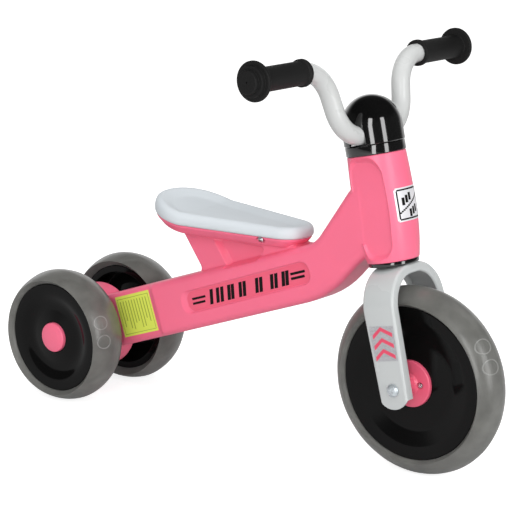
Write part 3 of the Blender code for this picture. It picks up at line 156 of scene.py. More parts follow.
def turned(corners, steps, turn=Matrix.Identity(4), closed=True, step=radians(6)):
    """A turned form whose profile has rounded corners."""
    return revolve(rounded(corners, closed, step), steps, turn, closed)


def tube(inner, outer, high, low, steps, turn, edges=(0.0, 0.0), step=radians(20)):
    """A ring along Z between two heights, with its outer edges softened."""
    return turned([(inner, high), (outer, high, edges[0]), (outer, low, edges[1]),
                   (inner, low)], steps, turn, step=step)


def drill(radius, high, low, steps=32, turn=Matrix.Identity(4)):
    """A plain pin along Z between two heights, for cutting a round hole."""
    return revolve([(0.0, high), (radius, high), (radius, low), (0.0, low)], steps, turn, False)


def placed(name, data):
    """A new object in the scene."""
    obj = bpy.data.objects.new(name, data)
    bpy.context.scene.collection.objects.link(obj)
    return obj


def shaped(mesh, tools=(), bevel=0.0, segments=4, angle=60.0, voxel=0.0, relax=0):
    """A mesh after its own bevel, cuts, remesh and smoothing."""
    obj = placed("work", mesh)
    helpers = [placed("tool", tool) for tool in tools]
    steps = []
    if bevel:
        steps.append(("BEVEL", {
            "width": bevel, "segments": segments, "limit_method": "ANGLE",
            "angle_limit": radians(angle), "use_clamp_overlap": False}))
    for helper in helpers:
        steps.append(("BOOLEAN", {
            "object": helper, "operation": "DIFFERENCE", "solver": "EXACT"}))
    if voxel:
        steps.append(("REMESH", {"mode": "VOXEL", "voxel_size": voxel}))
    if relax:
        steps.append(("SMOOTH", {"factor": 0.5, "iterations": relax}))
    for kind, settings in steps:
        mod = obj.modifiers.new(kind, kind)
        for name, value in settings.items():
            setattr(mod, name, value)
    bpy.context.view_layer.update()
    graph = bpy.context.evaluated_depsgraph_get()
    result = bpy.data.meshes.new_from_object(obj.evaluated_get(graph))
    for helper in helpers + [obj]:
        bpy.data.objects.remove(helper)
    return result


def reshaped(mesh, planes, shift):
    """A mesh cut along planes (point, normal), with every point then moved."""
    work = bmesh.new()
    work.from_mesh(mesh)
    for point, normal in planes:
        parts = work.verts[:] + work.edges[:] + work.faces[:]
        bmesh.ops.bisect_plane(work, geom=parts, plane_co=point, plane_no=normal)
    for vert in work.verts:
        shift(vert.co)
    work.to_mesh(mesh)
    work.free()
    return mesh


def together(meshes):
    """Several meshes as one."""
    work = bmesh.new()
    for mesh in meshes:
        work.from_mesh(mesh)
    result = bpy.data.meshes.new("together")
    work.to_mesh(result)
    work.free()
    return result


def add(name, mesh, body, looks, angle=35.0):
    """Put a thin film or another piece that the CAD model doesn't have on its body."""
    mesh.name = name
    obj = placed(name, mesh)
    mesh.materials.clear()
    mesh.materials.append(looks)
    mesh.shade_smooth()
    mesh.set_sharp_from_angle(angle=radians(angle))
    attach(obj, body)
    return obj


def dress(node_name, mesh, body, looks, angle=35.0):
    """Put a finished piece on its body, in place of its CAD node."""
    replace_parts(add(node_name + "_finished", mesh, body, looks, angle), node_name)


def feed(tree, target, inputs):
    """Give a node's inputs their values, or the sockets they are linked to."""
    for name, value in inputs.items():
        if isinstance(value, bpy.types.NodeSocket):
            tree.links.new(value, target.inputs[name])
        else:
            target.inputs[name].default_value = value


def node(tree, kind, inputs=None, **settings):
    """A new shader node with its settings and inputs."""
    made = tree.nodes.new("ShaderNode" + kind)
    for name, value in settings.items():
        setattr(made, name, value)
    feed(tree, made, inputs or {})
    return made


def ranged(tree, value, limits, kind="LINEAR"):
    """A value mapped from one range to another: from low and high, to low and high."""
    names = ("From Min", "From Max", "To Min", "To Max")
    return node(tree, "MapRange", {"Value": value, **dict(zip(names, limits))},
                interpolation_type=kind).outputs["Result"]


def surface(name, colour, roughness, drift=0.05, patch=14.0, grain=0.1, pores=900.0, **sockets):
    """A Principled material: soft colour drift, uneven roughness and a fine moulded grain."""
    mat = bpy.data.materials.new(name)
    mat.use_nodes = True
    tree = mat.node_tree
    place = node(tree, "TexCoord").outputs["Object"]
    broad, fine = (
        node(tree, "TexNoise", {"Vector": place, "Scale": scale, "Detail": detail}).outputs["Fac"]
        for scale, detail in ((patch, 4.0), (pores, 2.0)))
    ramp = node(tree, "ValToRGB", {"Fac": broad})
    for end, spot, share in zip(ramp.color_ramp.elements, (0.3, 0.7), (1 - drift, 1 + drift)):
        end.position = spot
        end.color = (*(min(1, c * share) for c in colour), 1)
    bump = node(tree, "Bump", {"Height": fine, "Strength": grain, "Distance": 0.0001})
    feed(tree, tree.nodes["Principled BSDF"], {
        "Base Color": ramp.outputs["Color"], "Normal": bump.outputs["Normal"],
        "Roughness": ranged(tree, broad, (0.3, 0.7, roughness * 0.88, roughness * 1.12)),
        **{socket.replace("_", " "): value for socket, value in sockets.items()}})
    return mat


def head_point(back, height):
    """World x and z of a point behind the steering axis and above the head's foot."""
    spot = COLUMN @ Vector((-back, 0, HEAD_FOOT + height))
    return spot.x, spot.z


START = Vector((REAR_X, REAR_Z))
ROOT = Vector(head_point(0.0794, 0.0252)) - START
PITCH = atan2(ROOT.y, ROOT.x) - asin(BEAM_HALF / ROOT.length)
ALONG = Vector((cos(PITCH), sin(PITCH)))
ACROSS = Vector((-ALONG.y, ALONG.x))


def beam_point(distance, offset):
    """A side-view point at a distance along the beam and an offset above its centre line."""
    return START + ALONG * distance + ACROSS * offset


TAPER_START, TAPER_RUN, TAPER_STEP, TAPER_SLOPE = 0.109, 0.0055, 0.0022, 0.0674


def tail_half(distance):
    """Half the beam's width behind the small step in its sides."""
    return BODY_HALF - TAPER_STEP - TAPER_SLOPE * (TAPER_START - distance)


def narrow(spot):
    """Move a point of the beam inwards where the beam gets thinner towards the rear axle."""
    distance = (Vector((spot.x, spot.z)) - START).dot(ALONG)
    if distance < TAPER_START + TAPER_RUN / 2:
        spot.y *= tail_half(distance) / BODY_HALF


SEAT_HEIGHT, SEAT_REAR, SEAT_FRONT = 0.2165, REAR_X + 0.1487, REAR_X + 0.1487 + 0.114
SEAT_REAR_RADIUS, SEAT_FRONT_RADIUS, SEAT_CREST = 0.048, 0.028, 0.0068
SEAT_LIFT, SEAT_TAIL, SEAT_SLOPE = 0.008, 0.022, 0.050


def seat_ring(margin, height, crest=0.0, front=25, rear=41):
    """Plan of the seat at one level, drawn in and raised by a share of the rear crest."""
    swing = acos((SEAT_REAR_RADIUS - SEAT_FRONT_RADIUS) / (SEAT_FRONT - SEAT_REAR))
    ring = []
    for centre, radius, start, sweep, count in (
            (SEAT_FRONT, SEAT_FRONT_RADIUS, -swing, 2 * swing, front),
            (SEAT_REAR, SEAT_REAR_RADIUS, swing, 2 * pi - 2 * swing, rear)):
        for k in range(count):
            turn = start + sweep * k / (count - 1)
            x, y = centre + (radius - margin) * cos(turn), (radius - margin) * sin(turn)
            tail, slope = (
                min(1.0, max(0.0, (SEAT_REAR + run - x) / (SEAT_REAR_RADIUS + run)))
                for run in (SEAT_TAIL, SEAT_SLOPE))
            lift = SEAT_LIFT * tail * tail * (3 - 2 * tail)
            ring.append((x, y, height + lift + crest * SEAT_CREST * slope * slope))
    return ring


def seat_form(levels):
    """A closed form from seat plans, bottom to top: margin, height and share of the crest."""
    rings = [seat_ring(*level) for level in levels]
    count, nose = len(rings[0]), 12
    ends = []
    for base in (0, (len(rings) - 1) * count):
        for i in range(count // 2):
            corners = ((nose + i + 1) % count, (nose + i) % count, (nose - i) % count,
                       (nose - i - 1) % count)
            face = [base + c for c in dict.fromkeys(corners)]
            if len(face) > 2:
                ends.append(face)
    return skinned(rings, ends)


spine = [
    (*beam_point(0.004, -BEAM_HALF),), (*head_point(0.0743, -0.0312), 0.110),
    (*head_point(0.0341, -0.0022), 0.020), head_point(0.010, 0.012), head_point(0.005, 0.090),
    (*head_point(0.0286, 0.0725), 0.012), (*head_point(0.0794, 0.0252), 0.035),
    (*beam_point(0.004, BEAM_HALF),),
]
beam = shaped(slab(rounded(spine), -BODY_HALF, BODY_HALF), bevel=BODY_EDGE, segments=6)
steps = [beam_point(distance, 0.0) for distance in (TAPER_START, TAPER_START + TAPER_RUN)]
beam = reshaped(beam, [((p.x, 0, p.y), (ALONG.x, 0, ALONG.y)) for p in steps], narrow)
PANEL_HALF, PANEL_START, PANEL_END, PANEL_DEPTH = 0.0118, 0.158, 0.329, 0.0022
PANEL_CORNER, PANEL_LIFT, PANEL_RISE = 0.0099, 0.0007, 0.0155


def panel_outline(grow, ramp):
    """The recess at one depth: its rear end runs out in a shallow ramp."""
    outline = []
    for distance, offset in ((PANEL_START - ramp, -1), (PANEL_END + grow, -1),
                             (PANEL_END + grow, 1), (PANEL_START - ramp, 1)):
        lift = PANEL_LIFT + PANEL_RISE * (distance - PANEL_START)
        point = beam_point(distance, offset * (PANEL_HALF + grow) + lift)
        outline.append((*point, PANEL_CORNER + grow))
    return rounded(outline, fixed=14)


panel_tools = both_sides([
    (panel_outline(0.0004, 0.0102), BODY_HALF + PANEL_DEPTH * 0.5),
    (panel_outline(0.0002, 0.0068), BODY_HALF),
    (panel_outline(-0.0002, 0.0), BODY_HALF - PANEL_DEPTH),
])
HEAD_BORE, AXLE_BORE = 0.0173, 0.0043
head_bore = drill(HEAD_BORE, 0.30, 0.08, 64, COLUMN)
axle_bore = drill(AXLE_BORE, 0.05, -0.05, turn=REAR_AXLE @ LEFT)

PAN_LOW = SEAT_HEIGHT - 0.0105
POST_HALF, POCKET_DEPTH = 0.015, 0.006
nose = beam_point((SEAT_FRONT + 0.040 - REAR_X) / ALONG.x, 0.0)
post_outline = [
    beam_point(0.174, 0.028), nose, (SEAT_FRONT + 0.036, PAN_LOW + 0.003),
    (REAR_X + 0.1188, PAN_LOW + 0.0087), (REAR_X + 0.1302, PAN_LOW + 0.0047, 0.007),
    (*beam_point(0.1862, BEAM_HALF), 0.006),
]
post = shaped(slab(rounded(post_outline), -POST_HALF, POST_HALF), bevel=0.0025, segments=3)


def pocket_outline(rear, front, rear_x, front_x, high):
    """The pocket at one depth: two corners along and above the beam, two under the pan."""
    return rounded([(*beam_point(*rear), 0.002), (*beam_point(*front), 0.002),
                    (front_x, high, 0.003), (rear_x, high, 0.002)], fixed=5)


high = PAN_LOW - 0.003
pockets = both_sides([
    (pocket_outline((0.2192, 0.02505), (0.2641, 0.02505), -0.0493, 0.0211, high),
     BODY_HALF + 0.001),
    (pocket_outline((0.2206, 0.02805), (0.2654, 0.02805), -0.0493, 0.0211, high), POST_HALF),
    (pocket_outline((0.2260, 0.0303), (0.2664, 0.0302), -0.0417, 0.0185, high - 0.002),
     POST_HALF - POCKET_DEPTH),
])
post = shaped(post, tools=pockets)
beam = shaped(beam, tools=panel_tools + pockets + [head_bore, axle_bore])


def screw_place(side):
    """Frame of a seat screw: it points up and inwards from the pan's lower side."""
    spot = (SEAT_FRONT - 0.012, side * (SEAT_FRONT_RADIUS - 0.0018), SEAT_HEIGHT - 0.00252)
    return Matrix.Translation(spot) @ Matrix.Rotation(side * radians(45), 4, "X")


pan = seat_form([
    (0.0120, PAN_LOW), (0.0100, PAN_LOW + 0.0003), (0.0088, PAN_LOW + 0.0010),
    (0.0078, PAN_LOW + 0.0018), (0.0030, SEAT_HEIGHT - 0.0035), (0.0020, SEAT_HEIGHT - 0.0022),
    (0.0016, SEAT_HEIGHT - 0.0003), (0.0135, SEAT_HEIGHT - 0.0003), (0.0145, SEAT_HEIGHT + 0.0018),
])
SINK_RADIUS = 0.0048
pan = shaped(pan, tools=[drill(SINK_RADIUS, 0.0, -0.02, 40, screw_place(side))
                         for side in (1, -1)])


def head_radius(height):
    """Radius of the barrel-shaped head at a height up the steering axis."""
    end, radius = HEAD_FOOT, HEAD_FOOT_RADIUS
    if height > HEAD_WIDEST:
        end, radius = HEAD_TOP, HEAD_TOP_RADIUS
    share = (height - HEAD_WIDEST) / (end - HEAD_WIDEST)
    return HEAD_BULGE_RADIUS - (HEAD_BULGE_RADIUS - radius) * share ** 2


heights = [HEAD_TOP + (HEAD_FOOT - HEAD_TOP) * k / 30 for k in range(1, 30)]
head = turned([
    (0.0, HEAD_TOP), (HEAD_TOP_RADIUS, HEAD_TOP, 0.0012), *((head_radius(h), h) for h in heights),
    (HEAD_FOOT_RADIUS, HEAD_FOOT, 0.001), (0.0, HEAD_FOOT)], 160, COLUMN, False)
FLAT_LOW, FLAT_HIGH = HEAD_FOOT + 0.0074, HEAD_TOP - 0.0065
FLAT_ARCH, FLAT_BEHIND, FLAT_SLOPE = 0.028, -0.045, 1.2


def flat_outline(grow):
    """The head's flat seen from the side, with an arch at the top and a lobe at the foot."""
    rear, foot = -0.0188 - grow, FLAT_LOW - grow
    return rounded([
        (FLAT_BEHIND, foot + 0.0136), (-0.014 - grow, foot + 0.0136, 0.002),
        (-0.012 - grow, foot, 0.012), (0.0155 + grow, foot, 0.012),
        (0.0194 + grow, (FLAT_LOW + FLAT_HIGH) / 2, 0.2),
        (0.0175 + grow, FLAT_HIGH + grow, 0.018), (rear, FLAT_HIGH + grow, 0.014),
        (rear, FLAT_HIGH - FLAT_ARCH, 0.002), (FLAT_BEHIND, FLAT_HIGH - FLAT_ARCH),
    ], fixed=8)


flats = both_sides([(flat_outline(grow), BODY_HALF - 0.0003 + grow * FLAT_SLOPE)
                    for grow in (0.0, 0.0085)], COLUMN @ SIDE)
head = shaped(head, tools=[head_bore] + flats)

drum_outline = [
    (0.0, DRUM_HALF), (DRUM_RADIUS, DRUM_HALF, DRUM_EDGE), (DRUM_RADIUS, -DRUM_HALF, DRUM_EDGE),
    (0.0, -DRUM_HALF),
]
drum = shaped(turned(drum_outline, 160, REAR_AXLE @ LEFT, False), tools=[axle_bore])
SKIN = 0.0006
body_mesh = shaped(together([beam, post, pan, head, drum]), voxel=SKIN, relax=2)
pink = surface("pink_plastic", (0.87, 0.150, 0.255), 0.36, drift=0.03, grain=0.10, pores=700.0,
               Subsurface_Weight=0.06, Subsurface_Scale=0.004)
dress("body_shell", body_mesh, "frame", pink, angle=80.0)

# Panel stickers
# A pink film on the floor of the recess on each side of the beam, with die-cut black film on
# it: a pair of bars at each end and a row of slanted strokes between them.
SUNK, PANEL_FILM, PANEL_INK = 0.0004, 0.00012, 0.00025
ink = surface("black_film", (0.006, 0.005, 0.005), 0.5, drift=0.25, grain=0.05, pores=1500.0,
              Specular_IOR_Level=0.15)
coral = surface("pink_film", (0.80, 0.105, 0.185), 0.34, drift=0.04, grain=0.05, pores=1500.0)


def film(points, face, lift, side, turn=SIDE):
    """A thin film on a flat face at a distance from the middle, on one side of the bike."""
    near, far = sorted((-side * (face - SUNK), -side * (face + lift)))
    return slab(points, near, far, turn)


BARS = ((0.1660, 0.1850, 0.0021, 0.0045), (0.1655, 0.1833, -0.0029, -0.0005),
        (0.3035, 0.3227, 0.0036, 0.0062), (0.3030, 0.3210, -0.0012, 0.0014))
BLOCKS = ((0.1890, 0.1960), (0.1980, 0.2125), (0.2140, 0.2275), (0.2300, 0.2440),
          (0.2530, 0.2670), (0.2735, 0.2876), (0.2890, 0.3025))
STROKE, LEAN, FILM_MARGIN = 0.0044, 0.004, 0.0012
marks = [[(x0, z0), (x1, z0), (x1, z1), (x0, z1)] for x0, x1, z0, z1 in BARS]
for left, right in BLOCKS:
    share = (left - BLOCKS[0][0]) / 0.113
    foot, top = -0.0066 + 0.0015 * share, 0.0091 + 0.0005 * share
    for start in sorted({left, max(left, right - LEAN - STROKE)}):
        marks.append([(start, foot), (start + STROKE, foot),
                      (start + STROKE + LEAN, top), (start + LEAN, top)])
for side, word in ((1, "left"), (-1, "right")):
    face = BODY_HALF - PANEL_DEPTH
    prints = [film([beam_point(*corner) for corner in mark], face, PANEL_INK, side)
              for mark in marks]
    add("panel_sticker_" + word, together(prints), "frame", ink)
    add("panel_film_" + word,
        film(panel_outline(-FILM_MARGIN, -FILM_MARGIN), face, PANEL_FILM, side), "frame",
        coral)

# Rear label
# A printed yellow-green paper label under clear film, on the near side of the tail.
LABEL_FOLDS = (0.0215, 0.0224, 0.0233)


def sheet(spot, columns, rows, turn=Matrix.Identity(4)):
    """A thin closed sheet: spot gives a point at a column, a row and an under or upper side."""
    verts = [spot(x, y, upper) for upper in (False, True) for y in rows for x in columns]
    width, outer = len(columns), len(columns) * len(rows)
    faces = []
    for a in range(outer - width):
        if (a + 1) % width:
            quad = [a, a + 1, a + width + 1, a + width]
            faces += [quad, [outer + k for k in quad]]
    edges = [(a, a + width) for a in range(0, outer - width)
             if a % width in (0, width - 1)]
    edges += [(a, a + 1) for a in (*range(width - 1), *range(outer - width, outer - 1))]
    faces += [[a, b, outer + b, outer + a] for a, b in edges]
    return solid(verts, faces, turn)


def tail_sheet(left, right, low, high, lift):
    """A thin sheet on the near side of the tail, in distances along and above the beam."""
    def spot(distance, offset, upper):
        over = max(0.0, abs(offset) - (BEAM_HALF - BODY_EDGE))
        sag = BODY_EDGE - sqrt(BODY_EDGE ** 2 - over ** 2)
        point = beam_point(distance, offset)
        return point.x, -(tail_half(distance) - sag + (lift if upper else -SUNK)), point.y

    rows = sorted({low, high} | {fold for fold in LABEL_FOLDS if low < fold < high})
    return sheet(spot, (left, right), rows)


lime = surface("label_film", (0.72, 0.80, 0.115), 0.3, drift=0.05, grain=0.06, pores=1200.0)
lime_dark = surface("label_print", (0.27, 0.34, 0.040), 0.3, drift=0.10, grain=0.06, pores=1200.0)
LABEL, LABEL_LIFT = (0.0526, 0.1072, -0.0207, 0.0242), 0.00015
PRINT_BOX, PRINT_LINE, PRINT_LIFT = (0.0550, 0.1048, -0.0183, 0.0212), 0.0005, 0.00022
TEXT_LINES, TEXT_PITCH, TEXT_WIDTH, PRINT_MARGIN = 10, 0.0045, 0.0011, 0.003
add("rear_label", tail_sheet(*LABEL, LABEL_LIFT), "frame", lime)
left, right, low, high = PRINT_BOX
print_lines = [(left, right, low, low + PRINT_LINE), (left, right, high - PRINT_LINE, high),
               (left, left + PRINT_LINE, low, high), (right - PRINT_LINE, right, low, high)]
for k in range(TEXT_LINES):
    start = right - 0.0056 - TEXT_PITCH * k
    reach = 0.020 + 0.013 * abs(sin(k * 2.3 + 0.6))
    print_lines.append((start, start + TEXT_WIDTH, high - PRINT_MARGIN - reach,
                        high - PRINT_MARGIN))
add("rear_label_print", together([tail_sheet(*line, PRINT_LIFT) for line in print_lines]),
    "frame", lime_dark)

# Head badge
# A silver foil badge bent around the head's front, printed with a black frame, a rising
# slash and six plain strokes.
def wrapped(x0, x1, d0, d1, lift, columns=24):
    """A thin sheet bent around the head, drawn in arc lengths and depths below the head's top."""
    def spot(x, depth, upper):
        reach = head_radius(HEAD_TOP - depth) + (lift if upper else -0.0005)
        turn = x / HEAD_BULGE_RADIUS
        return reach * cos(turn), reach * sin(turn), HEAD_TOP - depth

    rows = max(2, round((d1 - d0) / 0.002) + 1)
    return sheet(spot, [x0 + (x1 - x0) * k / columns for k in range(columns + 1)],
                 [d0 + (d1 - d0) * i / (rows - 1) for i in range(rows)], COLUMN)


silver = surface("silver_foil", (0.78, 0.77, 0.80), 0.3, drift=0.06, grain=0.05, pores=1500.0,
                 Metallic=0.2)
BADGE_HALF, BADGE_TOP, BADGE_FOOT, BADGE_CUT, BADGE_INK = 0.0187, 0.0355, 0.0685, 0.0015, 0.00028
add("head_badge", together([
    wrapped(BADGE_CUT - BADGE_HALF, BADGE_HALF - BADGE_CUT, BADGE_TOP, BADGE_FOOT, 0.00018),
    wrapped(-BADGE_HALF, BADGE_HALF, BADGE_TOP + BADGE_CUT, BADGE_FOOT - BADGE_CUT, 0.00015),
]), "frame", silver)
EDGE, EDGE_TOP, EDGE_FOOT, EDGE_LINE = 0.0168, 0.0370, 0.0670, 0.0015
bars = [
    wrapped(-EDGE + 0.001, EDGE - 0.001, EDGE_TOP, EDGE_TOP + EDGE_LINE, BADGE_INK),
    wrapped(-EDGE + 0.001, EDGE - 0.001, EDGE_FOOT - EDGE_LINE, EDGE_FOOT, BADGE_INK),
    wrapped(-EDGE, -EDGE + 0.0016, EDGE_TOP + 0.0012, EDGE_FOOT - 0.0012, BADGE_INK, 4),
    wrapped(EDGE - 0.0016, EDGE, EDGE_TOP + 0.0012, EDGE_FOOT - 0.0012, BADGE_INK, 4),
]
SLASH_PIECES, SLASH_PITCH, SLASH_RISE, SLASH_HALF = 14, 0.00224, 0.0012, 0.0008
for k in range(SLASH_PIECES):
    across, depth = -0.0157 + SLASH_PITCH * k, 0.0598 - SLASH_RISE * k
    bars.append(wrapped(across, across + 0.0023, depth - SLASH_HALF, depth + SLASH_HALF,
                        BADGE_INK, 2))
MARK_WIDTH, MARK_HEIGHT = 0.0034, 0.0074
for across, depth in ((-0.0115, 0.0454), (-0.0070, 0.0434), (-0.0025, 0.0414),
                      (-0.0035, 0.0574), (0.0010, 0.0556), (0.0055, 0.0538)):
    bars.append(wrapped(across, across + MARK_WIDTH, depth, depth + MARK_HEIGHT, BADGE_INK, 3))
add("head_badge_print", together(bars), "frame", ink)

# Saddle
# A white moulded plastic saddle with a crest around a shallow dish, screwed to the pan.
SEAT_THICK, SEAT_DISH = 0.0118, 0.0045
top = SEAT_HEIGHT + SEAT_THICK
section = [
    (0.0046, SEAT_HEIGHT, 0.0), (0.0016, SEAT_HEIGHT, 0.0), (0.0, SEAT_HEIGHT + 0.0022, 0.2),
    (0.0004, SEAT_HEIGHT + SEAT_THICK * 0.6, 0.6),
    (0.0026, SEAT_HEIGHT + SEAT_THICK * 0.88, 0.88), (0.0070, top, 1.0),
    (0.0130, top - SEAT_DISH * 0.45, 0.93), (0.0190, top - SEAT_DISH * 0.9, 0.8),
    (0.0262, top - SEAT_DISH, 0.75),
]


def flowing(points, pieces=5):
    """A smooth curve through points, with the first span left straight."""
    result = [points[0]]
    for i in range(1, len(points) - 1):
        p0, p1, p2 = (Vector(points[i - 1]), Vector(points[i]), Vector(points[i + 1]))
        p3 = Vector(points[min(i + 2, len(points) - 1)])
        for k in range(pieces):
            t = k / pieces
            spot = 0.5 * (2 * p1 + (p2 - p0) * t + (2 * p0 - 5 * p1 + 4 * p2 - p3) * t * t
                          + (3 * p1 - p0 - 3 * p2 + p3) * t ** 3)
            result.append(tuple(spot))
    result.append(points[-1])
    return result


saddle_mesh = shaped(seat_form(flowing(section)), tools=[seat_form([
    (0.0146, SEAT_HEIGHT - 0.001), (0.0130, SEAT_HEIGHT + 0.0024),
])])
white = surface("white_plastic", (0.58, 0.62, 0.65), 0.52, drift=0.02, grain=0.25, pores=1100.0)
dress("saddle", saddle_mesh, "frame", white, angle=50.0)

# Seat screws
# Two zinc-plated pan-head screws with a cross recess, sunk in the pan's lower side.
def cross_screw(wide, high, radius, length, place):
    """A pan-head screw whose head rises along +Z above its seat at zero."""
    outline = [(0.0, high), (wide, high, high * 0.55), (wide, 0.0), (radius, 0.0),
               (radius, -length), (0.0, -length)]
    arm, thin = wide * 0.62, wide * 0.14
    cross = [Matrix.Rotation(pi / 2 * k, 2) @ Vector(corner) for k in range(4)
             for corner in ((arm, -thin), (arm, thin), (thin, thin))]
    tool = slab(cross, high * 0.45, high + 0.001, Matrix.Rotation(radians(20), 4, "Z"))
    mesh = shaped(turned(outline, 40, closed=False), tools=[tool])
    mesh.transform(place)
    return mesh


zinc = surface("zinc_steel", (0.62, 0.63, 0.64), 0.27, drift=0.15, patch=300.0, grain=0.12,
               pores=2500.0, Metallic=1.0)
for side, word in ((1, "left"), (-1, "right")):
    place = screw_place(side) @ Matrix.Rotation(pi, 4, "X")
    mesh = cross_screw(0.0036, 0.0024, 0.0021, 0.009, place @ Matrix.Translation((0, 0, 0.0003)))
    dress("seat_screw_" + word, mesh, "frame", zinc)

# Headset bushes
# Two flanged bushes of gloss black plastic pressed into the top and the foot of the head.
black = surface("gloss_black_plastic", (0.004, 0.004, 0.004), 0.10, drift=0.2, grain=0.03,
                pores=500.0, Coat_Weight=1.0, Coat_Roughness=0.03)
GAP, STEM_BORE, BUSH_RADIUS, BUSH_DEPTH = 0.0003, 0.013, 0.017, 0.018
COLLAR_RADIUS, COLLAR_LOW, COLLAR_HIGH = 0.0295, HEAD_TOP + GAP, HEAD_TOP + 0.0097
FLANGE_RADIUS, FLANGE_HIGH, FLANGE_LOW = 0.025, HEAD_FOOT - GAP, HEAD_FOOT - GAP - 0.0038
upper = [
    (STEM_BORE, COLLAR_HIGH), (COLLAR_RADIUS, COLLAR_HIGH, 0.0007),
    (COLLAR_RADIUS, COLLAR_LOW, 0.0003), (BUSH_RADIUS, COLLAR_LOW),
    (BUSH_RADIUS, HEAD_TOP - BUSH_DEPTH), (STEM_BORE, HEAD_TOP - BUSH_DEPTH),
]
lower = [
    (STEM_BORE, HEAD_FOOT + BUSH_DEPTH), (BUSH_RADIUS, HEAD_FOOT + BUSH_DEPTH),
    (BUSH_RADIUS, FLANGE_HIGH), (FLANGE_RADIUS, FLANGE_HIGH, 0.0003),
    (FLANGE_RADIUS, FLANGE_LOW, 0.0009), (STEM_BORE, FLANGE_LOW),
]
for name, outline in (("upper_headset_bush", upper), ("lower_headset_bush", lower)):
    dress(name, turned(outline, 128, COLUMN, step=radians(20)), "frame",
        black)

# Rear axle, spacers and push nuts
# A fixed zinc-plated steel rod, black nylon spacers beside the drum, and steel push nuts
# hidden under the hub caps.
AXLE_RADIUS, AXLE_END = 0.004, 0.0722
SPACER_RADIUS, SPACER_OUT, SPACER_IN = 0.009, 0.0389, 0.0153
NUT_RADIUS, NUT_OUT, NUT_IN = 0.007, 0.0683, 0.0671
nylon = surface("black_nylon", (0.018, 0.018, 0.018), 0.48, drift=0.2, grain=0.2, pores=1500.0)
axle = [(0.0, AXLE_END), (AXLE_RADIUS, AXLE_END, 0.0006), (AXLE_RADIUS, -AXLE_END, 0.0006),
        (0.0, -AXLE_END)]
dress("rear_axle", turned(axle, 48, REAR_AXLE @ LEFT, False), "frame", zinc)
for turn, word in ((LEFT, "left"), (RIGHT, "right")):
    spacer = tube(AXLE_BORE, SPACER_RADIUS, SPACER_OUT, SPACER_IN, 64, REAR_AXLE @ turn,
                  (0.0004, 0.0004))
    dress("rear_spacer_" + word, spacer, "frame", nylon)
    nut = tube(AXLE_BORE, NUT_RADIUS, NUT_OUT, NUT_IN, 48, REAR_AXLE @ turn, (0.0003, 0.0003),
               radians(30))
    dress("axle_push_nut_" + word, nut, "frame", zinc)

# Rear wheels
# A half-clear grey tyre moulded onto a dished rim of gloss black plastic, a pink hub cap
# and a flashing light module sealed in the tyre.
TYRE_POINT, TYRE_FLARE, RIM_LIP, RIM_STEP, RIM_WALL = 1.62, 1.26, 0.0025, 0.0046, 0.0028
RIM_RING, DISH_DEPTH, DISH_FOOT, CAP_THICK = 0.012, 0.0055, 0.60, 0.004
HUB_BORE, HUB_RADIUS, HUB_FLOOR, REAR_SEAT, FRONT_SEAT = 0.0073, 0.0125, 0.0113, 0.0167, 0.0243
REAR_SIDE, REAR_RADIUS, REAR_HALF = 0.0532, 0.0725, 0.0262
REAR_RIM, REAR_FACE, REAR_BACK = 0.0594, 0.0176, -0.0130
WHEEL_BUSH, CAP_RADIUS, CAP_TOP, CAP_FOOT = 0.007, 0.0162, 0.0211, 0.0139
rim_black = surface("rim_black_plastic", (0.0036, 0.0036, 0.0036), 0.11, drift=0.2, grain=0.03,
                    pores=500.0, Specular_IOR_Level=0.15)
grey = surface("grey_clear_tyre", (0.134, 0.134, 0.124), 0.32, drift=0.20, patch=46.0,
               grain=1.0, pores=260.0, Alpha=0.88, Coat_Weight=0.30, Coat_Roughness=0.22)


def tyre_mesh(radius, half, rim_radius, rim_half, back_half, centre, arc=72):
    """A tyre around its rim, with moulding lines beside the tread and a slightly wavy skin."""
    bed, seat, shoulder = rim_radius - RIM_STEP + GAP, rim_radius + GAP, rim_radius + 2 * GAP
    rise = radius - shoulder
    points = []
    for k in range(arc + 1):
        turn = pi / 2 - pi * k / arc
        lift = rise * max(0.0, cos(turn)) ** (2 / TYRE_POINT)
        edge = rim_half if turn >= 0 else back_half
        flank = edge + TYRE_FLARE * (shoulder + lift - rim_radius)
        width = min(half * abs(sin(turn)) ** (2 / TYRE_POINT), flank)
        points.append((shoulder + lift, width if turn >= 0 else -width))
    points += [
        (seat, -back_half + RIM_LIP + GAP), (bed, -back_half + RIM_LIP + GAP),
        (bed, rim_half - RIM_LIP - GAP), (seat, rim_half - RIM_LIP - GAP),
    ]
    mesh = revolve(points, 180)
    for vert in mesh.vertices:
        reach = sqrt(vert.co.x ** 2 + vert.co.y ** 2)
        if reach < shoulder + 0.001:
            continue
        wave = noise.noise(Vector(vert.co) * 60.0 + Vector((radius * 100, half * 900, 0)))
        line = 0.00022 * max(0.0, 1 - abs(abs(vert.co.z) - half * 0.36) / 0.0005)
        share = (reach - 0.00018 * (1 + wave) + line) / reach
        if reach > radius - 0.0006:
            share = min(share, 1.0)
        vert.co.x *= share
        vert.co.y *= share
    mesh.transform(centre)
    return mesh


